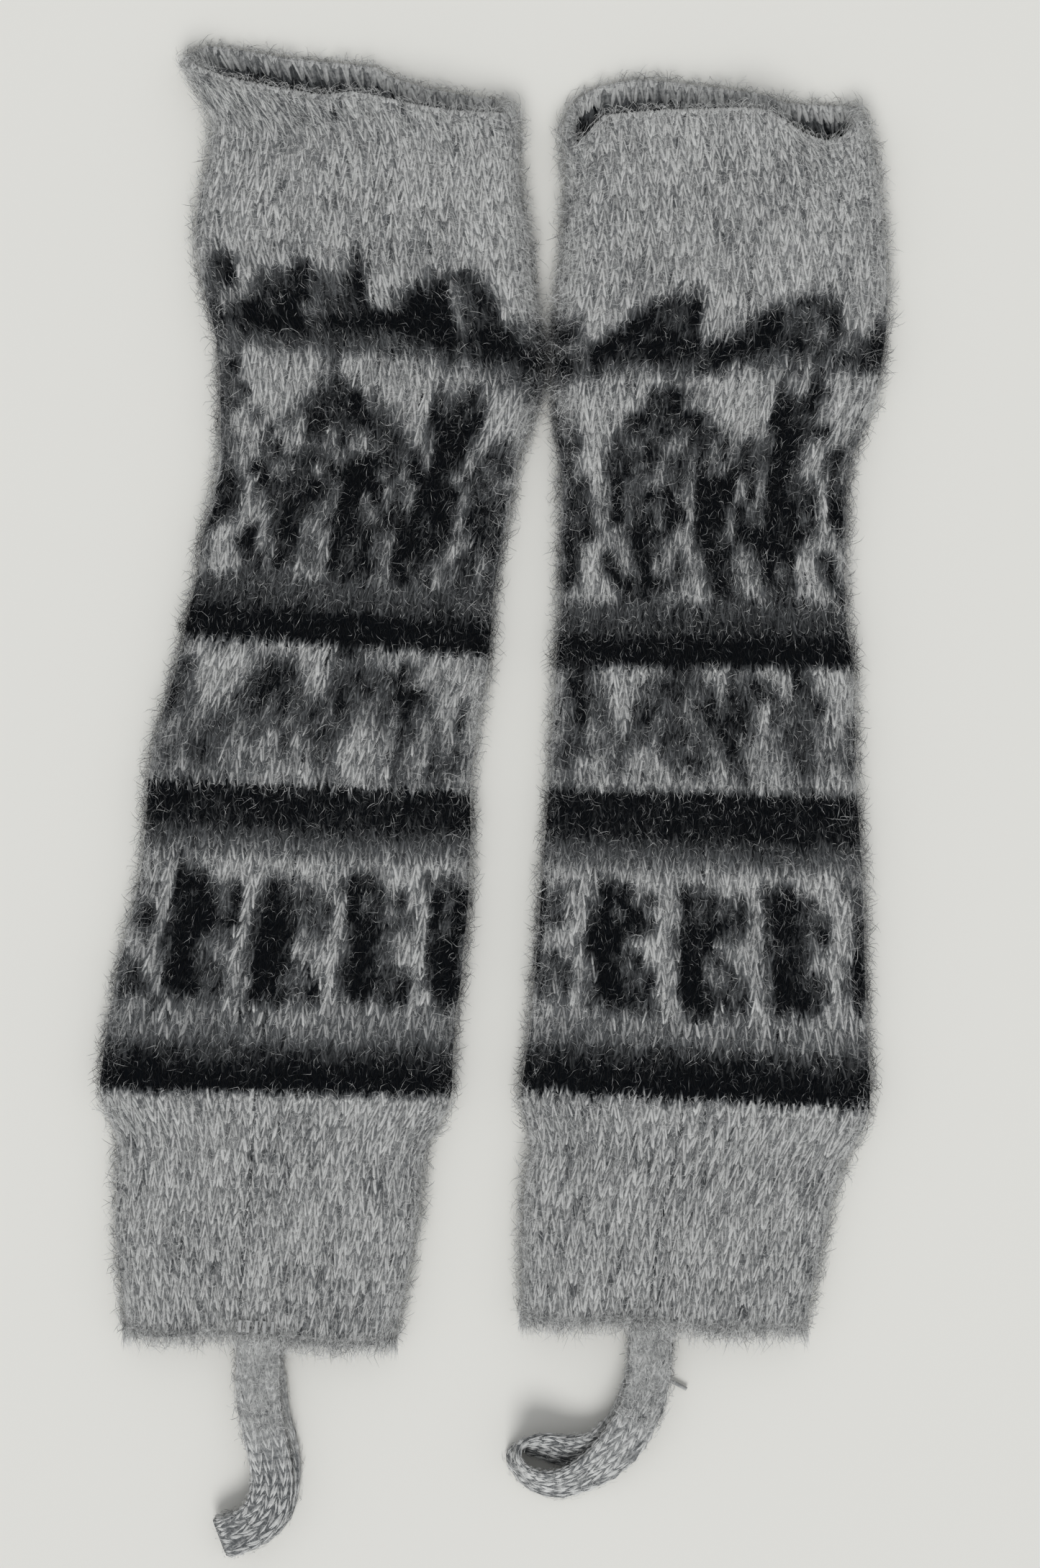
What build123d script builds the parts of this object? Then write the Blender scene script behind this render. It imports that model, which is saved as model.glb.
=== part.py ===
"""A pair of knitted stirrup leg warmers lying flat, side by side, in millimetres.

Each leg warmer is one flattened tube of stocking stitch with its mouth at +Y and its
stirrup strap at -Y. The tube is divided where the yarn changes, so each stretch of
pattern is a piece of its own. +X runs across the pair, +Z is up from the floor, and the
origin is the middle of the pair's footprint on the floor.
"""

from build123d import *
from dataclasses import dataclass
from math import cos, hypot, radians, sin
import os

# ---- knitted fabric --------------------------------------------------------------
wall = 3.6  # thickness of one layer of brushed knit
flat_width = 135.0  # nominal width of a leg warmer lying flat
flat_height = 15.0  # height of the flattened tube over the floor
leg_gap = 26.0  # nominal gap between the two axes' flat tubes

# ---- turned-in hem at the mouth --------------------------------------------------
rim_height = 26.0  # the mouth stands open this high
hem_height = 21.0  # height of the tube where the turned-in layer ends
facing = 2.8  # thickness of the turned-in layer
facing_slack = 0.2  # air between the tube and its turned-in layer
roll_length = 4.5  # how far the rolled fold stands past the tube's end
roll_round = 3.0  # rounding of the rolled fold

# ---- cast-off edge at the ankle --------------------------------------------------
cast_off_length = 3.0
cast_off_round = 1.4

# ---- sewn seam along the front layer ---------------------------------------------
seam_width = 2.4
seam_height = 0.8
seam_end_gap = 1.0  # from the seam's lower end to the strap's stitches

# ---- stirrup straps --------------------------------------------------------------
strap_width = 19.0  # width of the knitted band
strap_layer = 3.5  # thickness of one layer of the band
strap_gap = 5.0  # air between the band's two layers
strap_wall = 5.0  # thickness of the band where it turns back on itself
strap_clearance = 0.3  # air between the band's root and the cast-off edge
side_overrun = 4.0  # the air between the layers is cut this far past the sides

# ---- stitches that hold a strap to the tube --------------------------------------
join_count = 5
join_pitch = 3.4
join_width = 1.3
join_length = 5.0
join_height = 0.8
join_inset = 5.0  # middle of the stitches from the tube's lower end

# ---- loose yarn end on the right strap -------------------------------------------
tail_diameter = 1.6
tail_place = 21.5  # below the strap's root
tail_root = 3.0  # length knitted into the band
tail_run = 5.0  # straight length outside the band
tail_end = (6.5, -3.0)  # from the end of the straight run to the free end
tail_bend = 6.0


@dataclass(frozen=True)
class Course:
    """One course of the tube, measured from the course above it."""

    drop: float  # length of tube from the course above
    sway: float  # sideways shift of the course's middle from the leg's axis
    flare: float  # extra flat width over flat_width
    tilt: float  # slope of the course in degrees
    height: float = flat_height


@dataclass(frozen=True)
class Station:
    """A course placed in the frame."""

    x: float
    y: float
    width: float
    height: float
    tilt: float

    def point(self, along, rise, out=0.0):
        """A point given along the course, above the floor and out past it."""
        turn = radians(self.tilt)
        return (
            self.x + along * cos(turn) - out * sin(turn),
            self.y + along * sin(turn) + out * cos(turn),
            rise,
        )

    def plane(self, along=0.0, rise=None, out=0.0):
        """The plane square to the tube at this course, with its x along the course."""
        turn = radians(self.tilt)
        middle = self.height / 2 if rise is None else rise
        return Plane(
            origin=self.point(along, middle, out),
            x_dir=(cos(turn), sin(turn), 0),
            z_dir=(-sin(turn), cos(turn), 0),
        )


@dataclass(frozen=True)
class Leg:
    """One leg warmer: where it lies and how its courses and seam run."""

    side: str
    axis_x: float
    rim_y: float
    courses: list
    seam_top: float  # seam's place along the course at the upper border
    seam_bottom: float  # seam's place along the course at the ankle
    strap_offset: float  # strap's place along the lowest course

    def stations(self):
        """The leg's courses placed one below another."""
        placed, y = [], self.rim_y
        for course in self.courses:
            y -= course.drop
            width = flat_width + course.flare
            x = self.axis_x + course.sway
            placed.append(Station(x, y, width, course.height, course.tilt))
        return placed


axis_x = (flat_width + leg_gap) / 2

left_leg = Leg(
    side="left",
    axis_x=-axis_x,
    rim_y=297.0,
    courses=[
        Course(0.0, 19.0, 7.0, -8.0, rim_height),
        Course(25.0, 25.5, -5.0, -7.0, hem_height),
        Course(41.5, 24.5, 6.0, -5.0),
        Course(47.0, 30.0, -1.5, -4.0),
        Course(45.0, 27.0, -8.0, -4.0),
        Course(46.5, 18.8, -7.0, -4.5),
        Course(28.5, 14.5, -4.0, -4.0),
        Course(57.0, 2.0, 0.0, -2.4),
        Course(30.0, 1.0, 2.0, -2.0),
        Course(60.0, -8.2, 9.6, -1.5),
        Course(37.5, -12.2, 11.7, -1.0),
        Course(25.5, -13.9, -6.0, -1.5),
        Course(30.0, -16.1, -9.3, -2.0),
        Course(46.5, -18.8, -22.5, -3.0),
    ],
    seam_top=3.0,
    seam_bottom=-9.0,
    strap_offset=-1.0,
)

right_leg = Leg(
    side="right",
    axis_x=axis_x,
    rim_y=289.0,
    courses=[
        Course(0.0, 9.7, -8.4, 2.0, rim_height),
        Course(25.0, 12.7, -4.5, 1.5, hem_height),
        Course(53.0, 14.3, 1.5, 1.0),
        Course(34.5, 11.3, 1.5, 1.0),
        Course(49.5, 5.5, -16.2, 0.0),
        Course(48.0, 4.9, -15.6, -0.5),
        Course(24.0, 5.8, -10.2, -0.5),
        Course(51.0, 5.2, -6.0, -1.7),
        Course(33.0, 5.0, -1.5, -1.7),
        Course(61.5, 3.8, 5.7, -2.5),
        Course(34.5, 1.9, 11.4, -2.9),
        Course(24.0, -1.7, -3.0, -3.0),
        Course(27.0, -7.3, -7.5, -3.0),
        Course(42.0, -11.2, -16.5, -3.0),
    ],
    seam_top=11.0,
    seam_bottom=-7.0,
    strap_offset=-6.0,
)

# Each stretch of tube runs between two courses of the list above it.
stretches = {
    "plain_top": (0, 2),
    "upper_border": (2, 3),
    "figure_band": (3, 5),
    "middle_border": (5, 6),
    "peak_band": (6, 7),
    "lower_middle_border": (7, 8),
    "block_band": (8, 9),
    "lower_border": (9, 10),
    "plain_ankle": (10, 13),
}
hem_course = 1  # the turned-in layer ends at this course
seam_start = 2  # the seam shows from this course down

finished = []


def finish(piece, label):
    """Label a finished piece and keep it for export."""
    piece.part.label = label
    finished.append(piece.part)


def outline(station, inset):
    """The flattened tube's outline at a station, drawn in by inset."""
    with BuildSketch(station.plane()) as slot:
        SlotOverall(station.width - 2 * inset, station.height - 2 * inset)
    return slot.sketch


def hollow(stations, outside, inside):
    """A hollow layer lofted through several stations, between two insets."""
    with BuildPart() as tube:
        for upper, lower in zip(stations, stations[1:]):
            loft([outline(upper, outside), outline(lower, outside)], ruled=True)
        for upper, lower in zip(stations, stations[1:]):
            bore = [outline(upper, inside), outline(lower, inside)]
            loft(bore, ruled=True, mode=Mode.SUBTRACT)
    return tube


def make_stretch(leg, name, first, last):
    """One stretch of the knitted tube, between two yarn changes."""
    stretch = hollow(leg.stations()[first : last + 1], 0.0, wall)
    finish(stretch, f"{leg.side}_{name}")


def make_facing(leg):
    """The hem's turned-in layer, just inside the mouth."""
    outside = wall + facing_slack
    turned_in = hollow(leg.stations()[: hem_course + 1], outside, outside + facing)
    finish(turned_in, f"{leg.side}_hem_facing")


def end_ring(station, inset, length, rounding):
    """A rounded ring standing on the tube's end, length long along the tube."""
    with BuildPart() as ring:
        with BuildSketch(station.plane()):
            SlotOverall(station.width, station.height)
            SlotOverall(station.width - 2 * inset, station.height - 2 * inset, mode=Mode.SUBTRACT)
        extrude(amount=length)
        ends = faces().filter_by(Axis((0, 0, 0), station.plane().z_dir))
        along = Axis(station.point(0, 0), station.plane().z_dir)
        tip = ends.sort_by(along)[-1 if length > 0 else 0]
        fillet(tip.edges(), radius=rounding)
    return ring


def make_hem_roll(leg):
    """The rolled fold that joins the tube to its turned-in layer."""
    roll = end_ring(leg.stations()[0], wall + facing_slack + facing, roll_length, roll_round)
    finish(roll, f"{leg.side}_hem_roll")


def make_cast_off(leg):
    """The chain of cast-off stitches round the ankle end."""
    chain = end_ring(leg.stations()[-1], wall, -cast_off_length, cast_off_round)
    finish(chain, f"{leg.side}_cast_off_edge")


def make_seam(leg):
    """The raised yarn of the sewn seam, on top of the front layer."""
    stations = leg.stations()[seam_start:]
    run = [stations[0].y - station.y for station in stations]
    places = [leg.seam_top + (leg.seam_bottom - leg.seam_top) * r / run[-1] for r in run]
    rise = flat_height + seam_height / 2
    foot = join_inset + join_length / 2 + seam_end_gap
    outs = [0.0] * (len(stations) - 1) + [foot]
    planes = [s.plane(place, rise, out) for s, place, out in zip(stations, places, outs)]
    with BuildPart() as seam:
        for upper, lower in zip(planes, planes[1:]):
            for end in (upper, lower):
                with BuildSketch(end):
                    Rectangle(seam_width, seam_height)
            loft(ruled=True)
    finish(seam, f"{leg.side}_seam_yarn")


def make_join(leg, name, underside):
    """A row of short stitches that holds one layer of the strap to the tube."""
    foot = leg.stations()[-1]
    base = Plane(foot.plane(leg.strap_offset, underside, join_inset).origin, x_dir=foot.plane().x_dir)
    with BuildPart() as join:
        with BuildSketch(base):
            with GridLocations(join_pitch, 1, join_count, 1):
                Rectangle(join_width, join_length)
        extrude(amount=join_height)
    finish(join, f"{leg.side}_{name}")


def strap_frame(leg):
    """The floor plane at the strap's root, x along the course and y back up the leg."""
    foot = leg.stations()[-1]
    out = -cast_off_length - strap_clearance
    return Plane(foot.point(leg.strap_offset, 0, out), x_dir=foot.plane().x_dir)


strap_height = 2 * strap_layer + strap_gap
root_trim = 12.0  # the band is drawn this far past its root, and trimmed square there


def trim_root():
    """Cut the band's outline off square at its root."""
    with Locations((0, root_trim)):
        Rectangle(3 * strap_width, 2 * root_trim, mode=Mode.SUBTRACT)

# Left strap: straight down, then a sharp turn to the folded tip.
left_knee = (7.5, -69.0)
left_tip = (-14.5, -76.0)
left_inner_bend = 1.5  # radius at the band's inner edge
left_bend = strap_width / 2 + left_inner_bend


def make_left_strap(leg):
    """The left band, laid in two layers that join at its tip."""
    frame = strap_frame(leg)
    reach = hypot(left_tip[0] - left_knee[0], left_tip[1] - left_knee[1])
    back = (strap_wall - strap_width / 2) / reach
    inner_tip = (
        left_tip[0] + (left_knee[0] - left_tip[0]) * back,
        left_tip[1] + (left_knee[1] - left_tip[1]) * back,
    )
    with BuildPart() as strap:
        with BuildSketch(frame):
            with BuildLine():
                FilletPolyline((0, side_overrun), left_knee, left_tip, radius=left_bend)
            trace(line_width=strap_width)
            with Locations(left_tip):
                Circle(strap_width / 2)
            trim_root()
        extrude(amount=strap_height)
        with BuildSketch(frame.offset(strap_layer)):
            with BuildLine():
                Polyline((0, side_overrun), left_knee, inner_tip)
            trace(line_width=strap_width + 2 * side_overrun)
            with Locations(left_knee):
                Circle(strap_width / 2 + side_overrun)
        extrude(amount=strap_gap, mode=Mode.SUBTRACT)
    finish(strap, f"{leg.side}_stirrup_strap")


# Right strap: curves aside into a rounded end that stands open.
right_knee = (-8.5, -48.0)
right_end = (-46.5, -55.0)
right_end_radius = 14.5
right_inner_bend = 6.5  # radius at the band's inner edge
right_bend = strap_width / 2 + right_inner_bend
pocket_length = 33.0
pocket_width = 13.0
pocket_middle = (-36.0, -49.5)
pocket_turn = -3.0


def make_right_strap(leg):
    """The right band, whose looped end lies on edge and shows its hollow."""
    frame = strap_frame(leg)
    with BuildPart() as strap:
        with BuildSketch(frame):
            with Locations(right_knee):
                Circle(strap_width / 2)
            with Locations(right_end):
                Circle(right_end_radius)
            make_hull()
            with BuildLine():
                FilletPolyline((0, side_overrun), right_knee, pocket_middle, radius=right_bend)
            trace(line_width=strap_width)
            trim_root()
        extrude(amount=strap_height)
        with BuildSketch(frame.offset(strap_layer)):
            with BuildLine():
                Polyline((0, side_overrun), right_knee)
            trace(line_width=strap_width + 2 * side_overrun)
        extrude(amount=strap_gap, mode=Mode.SUBTRACT)
        with BuildSketch(frame.offset(strap_layer)):
            with Locations(pocket_middle):
                SlotOverall(pocket_length, pocket_width, rotation=pocket_turn)
        extrude(amount=strap_height, mode=Mode.SUBTRACT)
    finish(strap, f"{leg.side}_stirrup_strap")


def make_yarn_tail(leg):
    """The loose end of yarn at the outer edge of the right strap's lower layer."""
    slope = right_knee[0] / right_knee[1]
    edge = strap_width / 2 - slope * tail_place
    turn = (edge + tail_run, -tail_place)
    free = (turn[0] + tail_end[0], turn[1] + tail_end[1])
    frame = strap_frame(leg).offset(strap_layer / 2)
    with BuildPart() as tail:
        with BuildLine(frame) as route:
            FilletPolyline((edge - tail_root, -tail_place), turn, free, radius=tail_bend)
        with BuildSketch(Plane(route.line @ 0, z_dir=route.line % 0)):
            Circle(tail_diameter / 2)
        sweep()
    finish(tail, f"{leg.side}_yarn_tail")


for leg in (left_leg, right_leg):
    for stretch_name, (first, last) in stretches.items():
        make_stretch(leg, stretch_name, first, last)
    make_facing(leg)
    make_hem_roll(leg)
    make_cast_off(leg)
    make_seam(leg)
    make_join(leg, "strap_front_join", flat_height)
    make_join(leg, "strap_back_join", wall)
make_left_strap(left_leg)
make_right_strap(right_leg)
make_yarn_tail(right_leg)

os.makedirs("parts", exist_ok=True)
boxes = [piece.bounding_box() for piece in finished]
low_x, high_x = min(box.min.X for box in boxes), max(box.max.X for box in boxes)
low_y, high_y = min(box.min.Y for box in boxes), max(box.max.Y for box in boxes)
to_origin = Location((-(low_x + high_x) / 2, -(low_y + high_y) / 2, 0))
for piece in finished:
    placed = piece.moved(to_origin)
    placed.label = piece.label
    export_step(placed, f"parts/{piece.label}.step")
print("moved by", to_origin.position)
print("size", high_x - low_x, high_y - low_y)
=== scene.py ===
"""Looks of a pair of knitted stirrup leg warmers that lie flat side by side.

Each leg warmer is one knitted tube of brushed grey yarn with charcoal borders and patterned bands.
Its mouth is a turned hem, its foot a cast-off edge, and a folded stirrup strap hangs from the foot.
The knit is made stitch by stitch: each stitch is slim strands laid on a smooth form of the tube.
Sizes are in millimetres and are turned into metres as each mesh is made.
"""

import logging
import math
from dataclasses import dataclass, field
from enum import Enum

import bpy
import numpy as np
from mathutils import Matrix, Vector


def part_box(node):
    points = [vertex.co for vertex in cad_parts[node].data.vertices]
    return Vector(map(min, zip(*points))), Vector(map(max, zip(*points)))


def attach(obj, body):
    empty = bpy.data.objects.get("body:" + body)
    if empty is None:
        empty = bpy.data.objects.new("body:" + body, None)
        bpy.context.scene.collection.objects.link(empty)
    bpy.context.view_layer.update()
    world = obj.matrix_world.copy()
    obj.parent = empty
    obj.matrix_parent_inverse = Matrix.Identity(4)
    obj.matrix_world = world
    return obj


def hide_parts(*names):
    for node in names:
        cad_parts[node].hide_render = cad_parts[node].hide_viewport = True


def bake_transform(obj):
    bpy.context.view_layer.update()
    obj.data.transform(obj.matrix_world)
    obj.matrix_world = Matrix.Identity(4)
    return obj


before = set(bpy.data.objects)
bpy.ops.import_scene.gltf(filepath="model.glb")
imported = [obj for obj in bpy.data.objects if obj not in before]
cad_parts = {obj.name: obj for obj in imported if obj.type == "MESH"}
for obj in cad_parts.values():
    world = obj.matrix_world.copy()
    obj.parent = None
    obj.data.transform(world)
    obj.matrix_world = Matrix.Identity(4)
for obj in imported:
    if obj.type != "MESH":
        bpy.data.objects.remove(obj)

LOG = logging.getLogger("leg_warmers")

MM = 0.001
FLAT_WIDTH = 135.0
LEG_GAP = 26.0
AXIS_X = (FLAT_WIDTH + LEG_GAP) / 2
WALES = 60  # columns of stitches round a leg
ROW = 5.2  # one row of stitches along a leg
WALL = 3.6  # thickness of the knit
GROUND_DEPTH = 1.1  # the ground lies this far under the crests of the stitches
RIM_RADIUS = 2.8  # the turned hem bends over this radius
FACING = 21.0  # depth of the turned hem inside the mouth
JOIN_INSET = 5.2  # a strap's joins end this far above the foot's edge
FLOOR_GAP = 0.1  # the lowest knit lies this far above the floor
HEM_ROW_SHARE = 0.92  # the hem's rows are this much closer

# The leg's ground: places round it, and rows outside, over the rim and inside.
AROUND = 120
OUTER_ROWS = 170
RIM_ROWS = 7
NEAR_ROWS = 14  # rows down to NEAR_DEPTH inside the mouth
NEAR_DEPTH = 40.0
FAR_ROWS = 30

# The brushed parts of the front and the back, as shares of the way round.
FRONT = (0.01, 0.49)
BACK = (0.52, 0.98)


class Side(Enum):
    """Which of the two leg warmers."""

    LEFT = "left"
    RIGHT = "right"


class Stretch(Enum):
    """The stretches of a leg between courses, named as the frame's nodes are."""

    PLAIN_TOP = "plain_top"
    UPPER_BORDER = "upper_border"
    FIGURE_BAND = "figure_band"
    MIDDLE_BORDER = "middle_border"
    PEAK_BAND = "peak_band"
    LOWER_MIDDLE_BORDER = "lower_middle_border"
    BLOCK_BAND = "block_band"
    LOWER_BORDER = "lower_border"
    PLAIN_ANKLE = "plain_ankle"


class Slot(Enum):
    """The record's material slots."""

    LIGHT = "light_grey_yarn"
    CHARCOAL = "charcoal_yarn"
    PATTERNED = "patterned_knit"
    SEWING = "sewing_yarn"


# Each stretch with the courses that bound it and the yarn it is knitted in.
STRETCHES: tuple[tuple[Stretch, int, int, Slot], ...] = (
    (Stretch.PLAIN_TOP, 0, 2, Slot.LIGHT),
    (Stretch.UPPER_BORDER, 2, 3, Slot.CHARCOAL),
    (Stretch.FIGURE_BAND, 3, 5, Slot.PATTERNED),
    (Stretch.MIDDLE_BORDER, 5, 6, Slot.CHARCOAL),
    (Stretch.PEAK_BAND, 6, 7, Slot.PATTERNED),
    (Stretch.LOWER_MIDDLE_BORDER, 7, 8, Slot.CHARCOAL),
    (Stretch.BLOCK_BAND, 8, 9, Slot.PATTERNED),
    (Stretch.LOWER_BORDER, 9, 10, Slot.CHARCOAL),
    (Stretch.PLAIN_ANKLE, 10, 13, Slot.LIGHT),
)
FIGURE_COURSES = (3, 4, 5)
USUAL_COURSE = 5  # the course whose height stands for the whole leg


# ---------------------------------------------------------------- curves and noise


def smooth_line(stops: np.ndarray, values: np.ndarray, at: np.ndarray) -> np.ndarray:
    """A smooth line through values that never swings past them.

    Args:
        stops: Rising positions of the values.
        values: The value at each stop.
        at: Positions to read, held to the ends.

    Returns:
        The line's height at each position.
    """
    stops, values = np.asarray(stops, float), np.asarray(values, float)
    step = np.diff(stops)
    slope = np.diff(values) / step
    both = slope[:-1] * slope[1:]
    middle = np.where(both > 0, 2 * both / np.where(both > 0, slope[:-1] + slope[1:], 1), 0)
    lean = np.concatenate([slope[:1], middle, slope[-1:]])
    at = np.clip(at, stops[0], stops[-1])
    i = np.clip(np.searchsorted(stops, at) - 1, 0, len(step) - 1)
    t = (at - stops[i]) / step[i]
    rise = (2 * t**3 - 3 * t**2 + 1) * values[i] + (3 * t**2 - 2 * t**3) * values[i + 1]
    return rise + step[i] * ((t**3 - 2 * t**2 + t) * lean[i] + (t**3 - t**2) * lean[i + 1])


def ease(t: np.ndarray) -> np.ndarray:
    """A soft step from 0 to 1 as t goes from 0 to 1."""
    t = np.clip(t, 0, 1)
    return t * t * (3 - 2 * t)


def cloud(x: np.ndarray, y: np.ndarray, seed: int, size: int = 64) -> np.ndarray:
    """Soft random patches one unit wide.

    Args:
        x: Position across, in patch widths.
        y: Position along, in patch lengths.
        seed: Which patches.
        size: Patches before they repeat.

    Returns:
        Values from 0 to 1.
    """
    grid = np.random.default_rng(seed).random((size, size))
    x0, y0 = np.floor(x).astype(int), np.floor(y).astype(int)
    tx, ty = ease(x - x0), ease(y - y0)
    west, east = x0 % size, (x0 + 1) % size
    north, south = y0 % size, (y0 + 1) % size
    upper = grid[north, west] * (1 - tx) + grid[north, east] * tx
    lower = grid[south, west] * (1 - tx) + grid[south, east] * tx
    return upper * (1 - ty) + lower * ty


# ---------------------------------------------------------------- patterns


# Lightness of the yarn that each mark of a chart stands for.
TONES = {".": 1.0, ":": 0.8, "+": 0.53, "x": 0.25, "#": 0.02}


@dataclass(frozen=True)
class Chart:
    """A knitting chart: one mark for each stitch across the front, one line for each row."""

    top: float
    bottom: float
    rows: str
    wash: float = 0.0  # how much lighter the whole chart is knitted

    def tone(self, column: np.ndarray, run: np.ndarray) -> np.ndarray:
        """Lightness of the yarn at a place, blended a little between neighbouring stitches.

        Args:
            column: Stitch column across the front, from 0 at the left edge.
            run: Distance down the leg.

        Returns:
            Lightness from 0, charcoal, to 1, light grey.
        """
        grid = np.array([[TONES[mark] for mark in row] for row in self.rows.split()])
        high, wide = grid.shape
        y = (run - self.top) / (self.bottom - self.top) * high - 0.5
        x = np.clip(column, 0, wide - 1)
        y = np.clip(y, 0, high - 1)
        x0, y0 = np.floor(x).astype(int), np.floor(y).astype(int)
        x1, y1 = np.minimum(x0 + 1, wide - 1), np.minimum(y0 + 1, high - 1)
        tx, ty = ease((x - x0) * 1.6 - 0.3), ease((y - y0) * 1.6 - 0.3)
        upper = grid[y0, x0] * (1 - tx) + grid[y0, x1] * tx
        lower = grid[y1, x0] * (1 - tx) + grid[y1, x1] * tx
        tone = upper * (1 - ty) + lower * ty
        return tone + self.wash * (1 - tone)


@dataclass(frozen=True)
class Fade:
    """A plain border whose lightness runs from one value to another down the leg."""

    top: float
    bottom: float
    start: float
    end: float

    def tone(self, column: np.ndarray, run: np.ndarray) -> np.ndarray:
        """Lightness at a place, as for a chart; the column makes no difference."""
        share = np.clip((run - self.top) / (self.bottom - self.top), 0, 1)
        return self.start + (self.end - self.start) * share + 0 * column


WASH = 0.13  # the peaks are knitted this much lighter

LEFT_HUMPS = """
..............:...............
..:......:....x........:......
.:xx:....x+:::x.....:+xxx:....
:+x#..:++#x++x#...:+x#:xx+....
:+x#.+xxxx+++x#..:x###:x#x....
:++::xxx##+xxxx.:+####:xx#....
+x:x##x##:+xxxx#######:xxx++:x
xxxx#####xx###########+x##x++x
xx+xxx#x#xxxxxx++xxx##xx###xx#
+++++++x+++x+++++++++x+xxxx###
"""

LEFT_FIGURES = """
::+..:..:.:+........:+::+++xx#
:x#........+............:+++x+
+++.......+xx:......+::x::.:+:
x++x....:+xxx#+:....x+xx+....:
xxx:....+xxxx#x++:..#xxx#.....
++..+::+:x#xxx#xx+..x###x.....
++...x:::xx:x+:xxx+.+###+.+x:.
.++:.xx::++:x::+xxxx:###:+xx+.
.x::.+x+xxx+:x##xx+#+##x:x+xx.
.x+.#x:+xx:x####:x:###x:xxx+..
.x#+.#xxxx#x+####:x:####:x+xx.
.#xx.+xxxx#x+##:#+x:###x:x#xx.
.x#x.:xx#xx:+#x+:xxx#x##:#xxx.
.#x+.::x#x::x##xxxx##xx#++#xx.
+x..:#:x##:::#xx#+:##x#x.:xx#+
+:..x#.+xx++:#xxx++###x+.xx:x+
++..:xx+#x++:#xx#x:#xx+:+xx:x+
::...+x+x+:::xx#x+:x#+x.+xx+x+
"""

LEFT_PEAKS = """
::::+:::.......x#+:::..::....:
:+:.....+x+x...++x++.#+:......
x#x.....+###+.:xx#xx##+.:.....
xx+:...:x##xx:.x#x#x+###:.....
x#x+..:xx#x#x++x#x++xx#xx:.x..
x#++::++x#+#xx#+#x:+x+#++:.#..
++:+:+x++++x:xxxxx::+:xx:+:x..
::+++xx++x+:x:x#x+..::x+:+:::.
+:++xx++:+::x:+xx....:x::x:x:.
:+++x#+::+::+::x+..:::x:.x+x+.
::+:++++:+:.::.++:..::x+:xx+:.
::+:+:::::.:.:.:+:..:.::::+:..
"""

LEFT_BLOCKS = """
...:+:............:........:..
....#xx....:+.....:xx:...x+x:.
:+..###++x.+#x:+:.+#xx:+.+xx#x
::.:#x#x+#.x#xxx++.#+x+x.:#+##
.+x.x###+x.x##x++x.#xx:++.#x#+
.x#.x###x#:x##x+x+.x#xx++.#+##
..+.x##x++.x###:++.x##+::.x##+
...:x##+:+.x##x.:..+#xx:..###+
:::.+##++..+##x+:..x##++..x##+
++x.+##xx+.+###+x:.x#xxx+.x##x
+xx+:##x+x.:##++:x.x##x+#.+###
:xxx:x##+x::##xxx#.+##xx#..##x
:+:.x:+:+:.+x+x:++:::+:++..+x+
"""

LEFT_PATTERN: tuple[Chart | Fade, ...] = (
    Chart(64.0, 112.0, LEFT_HUMPS),
    Chart(112.0, 206.0, LEFT_FIGURES),
    Fade(206.0, 219.0, 0.42, 0.24),
    Fade(219.0, 233.0, 0.0, 0.0),
    Chart(233.0, 291.0, LEFT_PEAKS, WASH),
    Fade(291.0, 307.0, 0.1, 0.14),
    Fade(307.0, 321.0, 0.2, 0.75),
    Chart(321.0, 384.0, LEFT_BLOCKS),
    Fade(384.0, 397.0, 0.82, 0.62),
    Fade(397.0, 408.0, 0.4, 0.1),
    Fade(408.0, 418.0, 0.04, 0.0),
)

RIGHT_HUMPS = """
..........:++.................
........+xxx#:.....::#x++.....
+::....x#xxx#:...:x#x+:#x.....
#xx...+##xxx#:..:x##+xx:#:..+:
+#x:.x##x##xx::++x##xx+:#+::xx
x+:+##xx##x##x###x#xx#xxx:+x##
x#xx#xxxx#xxxx##xx+++x+x+xxx#x
x#x+x++::++++xx+::+::+:++++xx+
"""

RIGHT_FIGURES = """
++:::..::.::........+:.x:....:
:........xx#+:......x+:#x.....
x.......+xx#+:......x#x#:.....
x::....x#xxx##+.....##xx:.....
x:+:..+xx+xx+xxx:...x##xx#..::
xxx:.:x++x+::xx+x:x++##x::.:++
+x:..xxxx#x+x+x:++x+x##x..x#::
:x:..xx#+x:+x+x+:xxx+##x:.+x+:
:+xx.+#++::+x:####:x:##xx+.x++
:xx+.+#++#x#+:####:#:##xxx.xx+
.xxx:+#+x++#x:###+x:+###x#.#x:
.x+x:+#+x#:##:###:x++#x#+x.##:
:xx#x::x#xxx::##x:####x##+.:x.
:#x:.::+#x+::.x#xx+x###x+...:.
:#x..#+.x#+:x::##x::x#x#..xx..
+#x..x#:+#:+x+:xxx::+#+x..+#:.
+#+..:x#x##x+:.+#x:.:xxx:..x+:
:::...:xxx+::..:xx+.:+x+:..:x+
"""

RIGHT_PEAKS = """
.:x#+:.:.::+#x+..x++..:#+.....
..##++..:+x#xxx+.x+#x+.#x:....
.+x#x+..:+xx#++x+#xx#x:x#x....
.:+#+x..xxx+x:##+x#+.+xxx#:...
.:x#+x:.x#:xx:+#x##+.x+xx+:.:x
.:+x::+:+++xxx++#x#+.:xxx:+:+#
.:xx:++x+x:#x:x:x#+:.+xxx+:+::
:xxxx::+:..x+xx::#+..:+xx:++x+
:+x:..+x...+xx#+:xx:..+xx+::x:
.:+:+::+.:..+:+:.+x:..:++:::..
::++:.:+....:..:.::::.::+.::..
"""

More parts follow.
